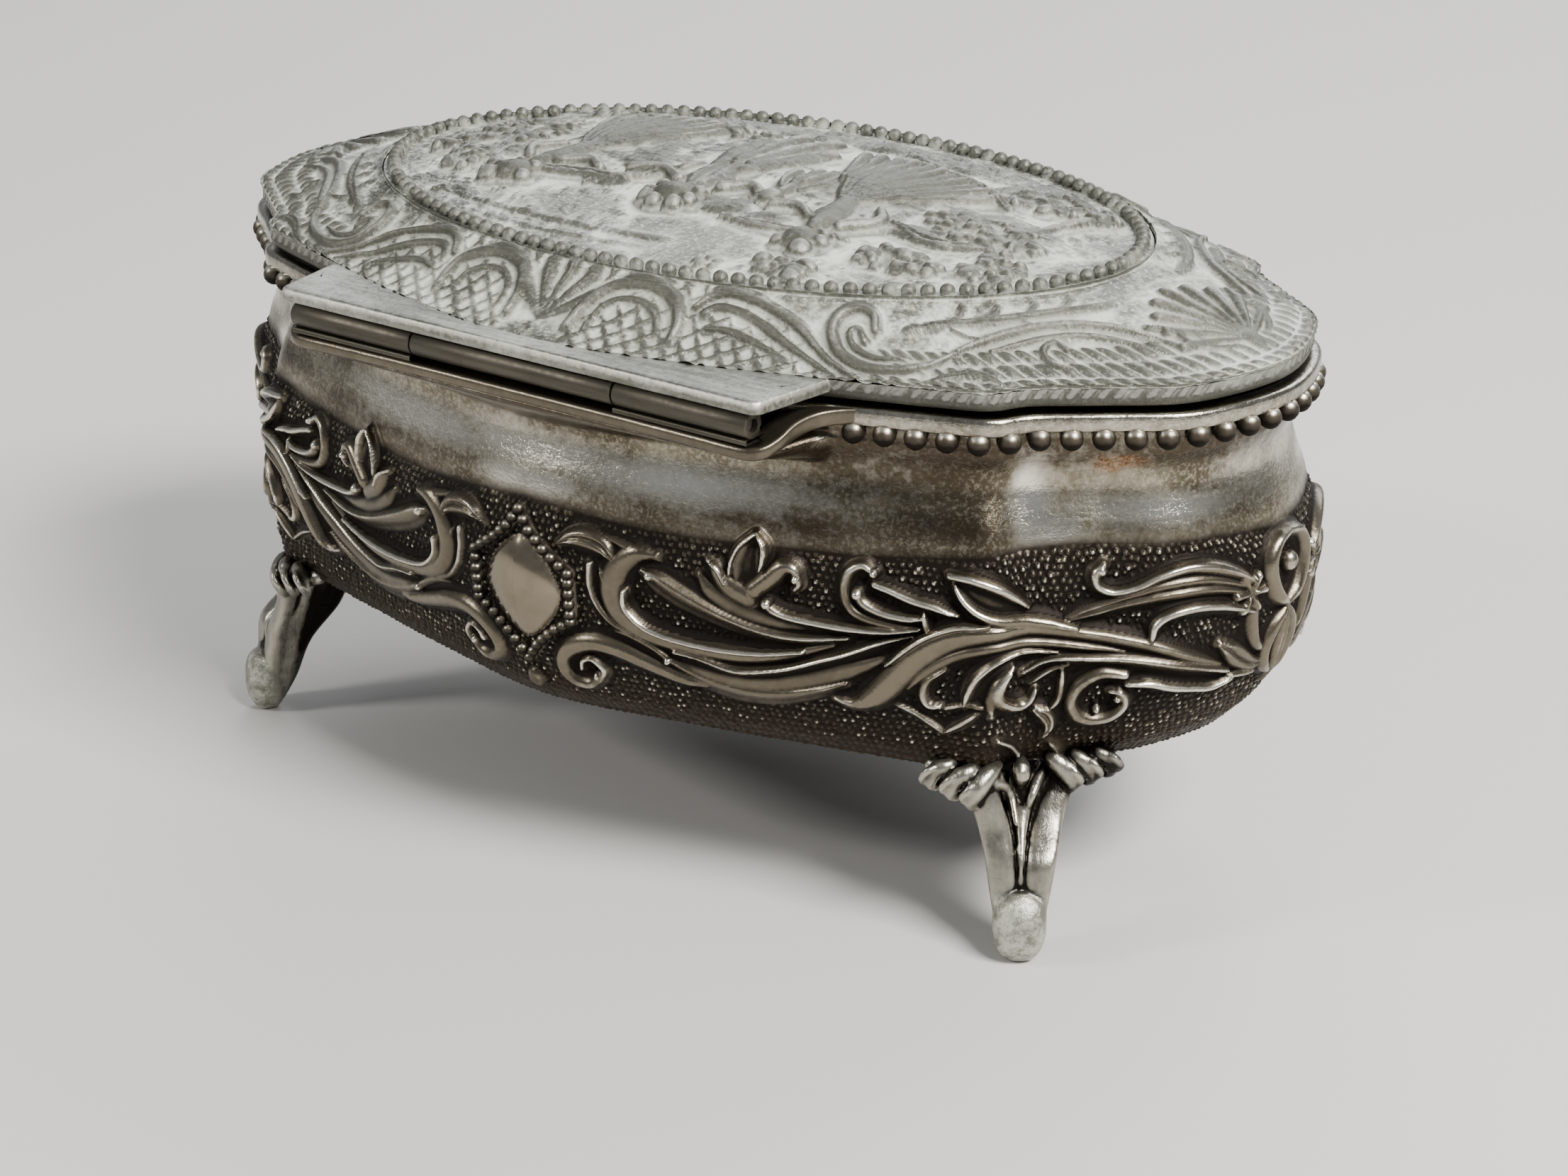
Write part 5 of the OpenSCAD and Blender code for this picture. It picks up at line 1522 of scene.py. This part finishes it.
# Outer edge of the ledge in plan, from its middle to where it runs into the rim, with the
# height of its lower and upper side
LEDGE_EDGE = [(0, 28.2, 36.0, 36.9), (8, 28.2, 36.0, 36.9), (16, 28.2, 35.95, 36.85),
              (18.8, 28.15, 35.85, 36.8), (20.2, 27.9, 35.85, 36.8), (21, 27.2, 36.0, 36.95),
              (21.4, 26, 36.35, 37.35), (21.6, 24.6, 36.8, 37.95), (22.1, 23.0, 37.1, 38.25),
              (23, 21.85, 37.25, 38.35), (24.2, 20.9, 37.3, 38.35), (25.4, 20.2, 37.35, 38.3)]
LEDGE_SECTION = [(-3.2, 0), (-0.7, 0), (-0.2, 0.03), (-0.05, 0.16), (0, 0.4), (0, 0.65),
                 (-0.06, 0.86), (-0.2, 0.97), (-0.5, 1.0), (-3.2, 1.0)]


def hinge_ledge():
    """The seat's rounded outer lip, with the ramps at its ends."""
    half = spline(LEDGE_EDGE, 0.25)
    edge = np.vstack([half[:0:-1] * (-1, 1, 1, 1), half])
    t = np.gradient(edge[:, :2], axis=0)
    t /= np.linalg.norm(t, axis=1)[:, None]
    inward = np.column_stack([t[:, 1], -t[:, 0]])
    rows = []
    shrink = np.interp(np.abs(edge[:, 0]), [20, 22.5], [1, 0.35])[:, None]
    for offset, share in LEDGE_SECTION:
        xy = edge[:, :2] - inward * offset * shrink
        z = edge[:, 2] + (edge[:, 3] - edge[:, 2]) * share
        rows.append(np.column_stack([xy, z]))
    p = np.array(rows)
    finish_piece(grid_piece("hinge_ledge_lip", p, "body", flat_values(p.shape[:2], 0.62), flip=True),
                 "aged_silver", "hinge_ledge")


hinge_ledge()


PLATE_HALF = 21.9


def hinge_plate():
    """The lid's flat plate over the hinge, with a bevelled edge."""
    along_x = np.linspace(-1, 1, 121)
    front_x = PLATE_HALF * along_x
    quarter = np.linspace(KEY_COUNT / 8, 3 * KEY_COUNT / 8, 801)
    lid_line = outline_at(quarter, *LID_HALF)[::-1]
    front_y = np.interp(front_x, lid_line[:, 0], lid_line[:, 1]) - 0.4
    corner = 0.8
    bend = np.linspace(0, math.pi / 2, 7)
    right = [(PLATE_HALF - 0.9 * t, front_y[-1] + (27.5 - front_y[-1]) * t) for t in np.linspace(0, 1, 25)]
    right += [(21 - corner + corner * math.cos(a), 27.5 + corner * math.sin(a)) for a in bend[1:]]
    back_row = [(x, 28.3) for x in np.linspace(19.8, -19.8, 101)]
    left = [(-x, y) for x, y in right[::-1]]
    front = list(zip(front_x, front_y))
    loop = np.array(right + back_row + left + front[1:-1])
    middle_y = (np.interp(loop[:, 0] * 0.96, front_x, front_y) + 28.0) / 2
    middle = np.column_stack([loop[:, 0] * 0.93, middle_y])
    rows = []
    for share, z in ((0.5, 39.21), (0.03, 39.21), (0, 39.3), (0, 39.6), (0.0, 39.88),
                     (0.025, 40.02), (0.07, 40.1), (0.13, 40.14), (0.25, 40.15), (0.5, 40.15),
                     (0.8, 40.15), (1.0, 40.15)):
        rows.append(at_height(loop + (middle - loop) * share, z))
    p = np.array(rows)
    edge = np.array([0, 0.2, 0.5, 0.8, 1, 1, 0.8, 0.6, 0.45, 0.4, 0.4, 0.4])
    values = flat_values(p.shape[:2], edge[:, None])
    finish_piece(grid_piece("lid_hinge_plate_top", p, "lid", values, closed=True),
                 "plate_silver", "lid_hinge_plate")


hinge_plate()

# ---- velvet cushion, lining and lid pad --------------------------------------------------

SIM_SCALE = 10  # the cloth solver is steadier on a larger copy
SIM_FRAMES = 20


def puffed(points, faces, voxel, cap, pressure, keep):
    """Swells a closed skin with a cloth simulation. keep holds points where it is 1."""
    skin, quads = fused([(points, faces)], voxel)
    mesh = bpy.data.meshes.new("puffed")
    mesh.from_pydata([tuple(v) for v in skin * MM * SIM_SCALE], [], [tuple(q) for q in quads])
    obj = linked("puffed", mesh)
    group = obj.vertex_groups.new(name="held")
    for i, weight in enumerate(keep(skin)):
        if weight > 0:
            group.add([i], float(weight), "REPLACE")
    cloth = obj.modifiers.new("cloth", "CLOTH")
    cloth.settings.quality = 6
    cloth.settings.use_pressure = True
    cloth.settings.uniform_pressure_force = pressure
    cloth.settings.vertex_group_mass = "held"
    cloth.settings.effector_weights.gravity = 0
    cloth.point_cache.frame_start = 1
    cloth.point_cache.frame_end = SIM_FRAMES
    for step in range(1, SIM_FRAMES + 1):
        bpy.context.scene.frame_set(step)
    moved = places(applied(obj)) / (MM * SIM_SCALE) - skin
    bpy.context.scene.frame_set(1)
    bpy.data.objects.remove(obj)
    length = np.linalg.norm(moved, axis=1)[:, None]
    return skin + moved * np.minimum(1, cap / np.maximum(length, 1e-6)), quads


def pad_skin(a, b, w, profile):
    """A closed pad of the box's plan from rows of inset and height, top middle to bottom."""
    p = np.array([ring(max(a - inset, 0.1), max(b - inset * b / a, 0.06), z, w)[::4]
                  for inset, z in profile])
    return p.reshape(-1, 3), grid_faces(len(p), p.shape[1], closed=True)


def smoothed_piece(name, points, quads, body):
    """A soft piece with one subdivision applied."""
    obj = mesh_piece(name, points, quads, body)
    modifier = obj.modifiers.new("subdivision", "SUBSURF")
    modifier.levels = modifier.render_levels = 1
    made = applied(obj)
    obj.modifiers.clear()
    obj.data = made
    made.polygons.foreach_set("use_smooth", np.full(len(made.polygons), True))
    return obj


def creased(points, seed, depth):
    """Soft pressed creases: long shallow waves that run from the edges inwards."""
    wave = np.random.default_rng(seed)
    lift = np.zeros(len(points))
    waves = 26
    for _ in range(waves):
        a = wave.uniform(0, math.pi)
        k = wave.uniform(0.25, 0.9)
        lift += np.sin((points[:, 0] * math.cos(a) + points[:, 1] * math.sin(a)) * k
                       + wave.uniform(0, 6)) / waves**0.5
    return depth * lift


def floor_cushion():
    """The loose velvet cushion on the floor card, stuffed so that its middle is higher."""
    a, b, w = body_level(16.4)
    inset = WALL_T + 0.9 + 0.75  # past the wall, its lining and a gap
    half_a, half_b, swell = a - inset, b - inset, w
    profile = [(half_a - 0.1, 17.6), (half_a * 0.6, 17.55), (half_a * 0.3, 17.3), (4, 17.05),
               (1.6, 16.75), (0.5, 16.35), (0.1, 16.05), (0.25, 15.75), (0.9, 15.5), (4, 15.47),
               (half_a * 0.5, 15.46), (half_a - 0.1, 15.46)]
    points, faces = pad_skin(half_a, half_b, swell, profile)
    skin, quads = puffed(points, faces, 0.9, 0.85, 4.0,
                         lambda p: unit((16.15 - p[:, 2]) / 0.35))
    upper = unit((skin[:, 2] - 16.4) / 0.8)
    skin[:, 2] += creased(skin, 5, 0.09) * upper
    skin[:, 2] = np.clip(skin[:, 2], 15.44, 18.58)
    piece = smoothed_piece("floor_cushion", skin, quads, "body")
    finish_piece(piece, "velvet", "floor_pad")
    cord_line = ring(half_a + 0.05, half_b + 0.05, 16.02, swell)[::2]
    welt = tube_loop(cord_line, 0.34)
    finish_piece(mesh_piece("floor_cushion_welt", *welt, "body"), "velvet")


def tube_loop(line, radius):
    """A closed round cord along a closed line."""
    side = outwards(line)
    p = np.array([line + radius * (math.cos(k) * side + math.sin(k) * np.array([0, 0, 1.0]))
                  for k in circle(10)] + [line + radius * side])
    return p.reshape(-1, 3), grid_faces(len(p), len(line), closed=True)


LINING_BACK = 1.9  # from the wall's outer face to the back of the lining


def wall_channels():
    """The padded velvet on the walls: soft upright channels between stitched seams."""
    levels = np.concatenate([np.linspace(16.1, 36.4, 46), [36.6, 36.8, 36.95, 37.05]])
    arc = along(np.vstack([ring(40, 24, 0), ring(40, 24, 0)[:1]]))
    count = 44
    phase = arc[:-1] / arc[-1] * count
    puff = np.abs(np.sin(math.pi * phase)) ** 0.55
    bend = 0.12 * np.sin(phase * 2.1 + 0.4) + 0.1 * np.sin(phase * 5.3)
    inner, outer = [], []
    for z in levels:
        a, b, w = body_level(min(z, 35.8))
        hem = unit((37.15 - z) / 0.6) ** 0.5
        foot = unit((z - 15.9) / 0.6) ** 0.5
        crease = 0.05 * np.sin(z * 1.7 + phase * 4) * puff
        depth = 2.0 + (0.12 + (0.52 + bend * 0.3) * puff + crease) * hem * foot
        shell = ring(a - LINING_BACK, b - LINING_BACK, z, w)
        outer.append(shell)
        inner.append(shell - outwards(ring(a, b, z, w)) * (depth - LINING_BACK)[:, None])
    p = np.array(outer + inner[::-1] + outer[:1])
    value = np.concatenate([np.zeros(len(outer)), np.ones(len(inner)), [0]])
    # the cavity value paints shade into the valleys between the channels
    values = {"relief": value[:, None] * puff[None], "cavity": value[:, None] * (1 - puff)[None]}
    piece = grid_piece("wall_channels", p, "body", values, closed=True)
    finish_piece(piece, "velvet", "wall_lining")


def lid_cushion():
    """The thin velvet pad glued into the lid, crowned towards the inside of the box."""
    half_a, half_b = LID_HALF[0] - 4.3, LID_HALF[1] - 4.3
    profile = [(half_a - 0.1, 39.95), (half_a * 0.5, 39.95), (3, 39.95), (0.7, 39.9), (0.15, 39.6),
               (0, 39.25), (0.3, 38.95), (1.2, 38.75), (4, 38.62), (half_a * 0.5, 38.55),
               (half_a - 0.1, 38.55)]
    points, faces = pad_skin(half_a, half_b, 0.0, profile)
    skin, quads = puffed(points, faces, 0.8, 0.42, 3.0,
                         lambda p: unit((p[:, 2] - 39.15) / 0.3))
    lower = unit((38.9 - skin[:, 2]) / 0.3)
    skin[:, 2] += creased(skin, 8, 0.05) * lower
    skin[:, 2] = np.clip(skin[:, 2], 38.08, 40.03)
    piece = smoothed_piece("lid_cushion", skin, quads, "lid")
    finish_piece(piece, "velvet", "lid_pad")


floor_cushion()
wall_channels()
lid_cushion()

# ---- carried-over CAD nodes -----------------------------------------------------------

for node_name, look in (("hinge_pin", "pin_steel"), ("floor_card", "card"), ("lid_card", "card")):
    node_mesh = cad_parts[node_name].data
    node_mesh.materials.clear()
    node_mesh.materials.append(MATERIALS[look])

# ---- stage ----------------------------------------------------------------------------


def plain_stage():
    """A pale floor under the box."""
    mesh = bpy.data.meshes.new("floor")
    half = 3.0
    mesh.from_pydata([(-half, -half, 0), (half, -half, 0), (half, half, 0), (-half, half, 0)],
                     [], [(0, 1, 2, 3)])
    floor = linked("floor", mesh)
    g = Graph("pale_floor")
    mesh.materials.append(g.finish(rgb(0.57, 0.555, 0.53), 0.0, 0.7))


plain_stage()


def area_light(name, place, target, size, power, color):
    """A rectangular lamp that looks at a target."""
    data = bpy.data.lights.new(name, "AREA")
    data.shape = "RECTANGLE"
    data.size, data.size_y = size
    data.energy = power
    data.color = color
    lamp = linked(name, data)
    lamp.location = place
    lamp.rotation_mode = "QUATERNION"
    lamp.rotation_quaternion = (Vector(target) - Vector(place)).to_track_quat("-Z", "Y")


area_light("window", (-0.45, 0.1, 0.5), (0, 0, 0.02), (0.26, 0.2), 10.2, (1, 0.985, 0.955))
area_light("fill", (0.42, 0.52, 0.42), (0, 0, 0.02), (0.12, 0.12), 2.6, (1, 0.98, 0.93))
area_light("back", (0.15, -0.6, 0.45), (0, 0, 0.02), (0.8, 0.3), 5.0, (0.95, 0.98, 1))

world = bpy.data.worlds.new("studio")
world.use_nodes = True
world.node_tree.nodes["Background"].inputs[0].default_value = rgb(0.9, 0.95, 1.0)
world.node_tree.nodes["Background"].inputs[1].default_value = 0.3
bpy.context.scene.world = world

# ---- camera at the photograph's view ---------------------------------------------------

CAMERA_TURN, CAMERA_RISE, CAMERA_ROLL = 35.94, 22.33, 0.22
CAMERA_DISTANCE = 261.12
CAMERA_LENS, CAMERA_SENSOR = 78.46, 36
CAMERA_TARGET = Vector((-1.786, -1.273, 12.973))
turn, rise, roll = (math.radians(a) for a in (CAMERA_TURN, CAMERA_RISE, CAMERA_ROLL))
back = Vector((-math.sin(turn) * math.cos(rise), math.cos(turn) * math.cos(rise), math.sin(rise)))
camera_data = bpy.data.cameras.new("camera")
camera_data.sensor_width = CAMERA_SENSOR
camera_data.lens = CAMERA_LENS
camera_data.clip_start, camera_data.clip_end = 0.01, 10
camera = linked("camera", camera_data)
camera.location = (CAMERA_TARGET + back * CAMERA_DISTANCE) * MM
camera.rotation_mode = "QUATERNION"
level_x = Vector((0, 0, 1)).cross(back).normalized()
level_y = back.cross(level_x)
view_x = level_x * math.cos(roll) + level_y * math.sin(roll)
view_y = level_y * math.cos(roll) - level_x * math.sin(roll)
camera.rotation_quaternion = Matrix((view_x, view_y, back)).transposed().to_quaternion()
bpy.context.scene.camera = camera
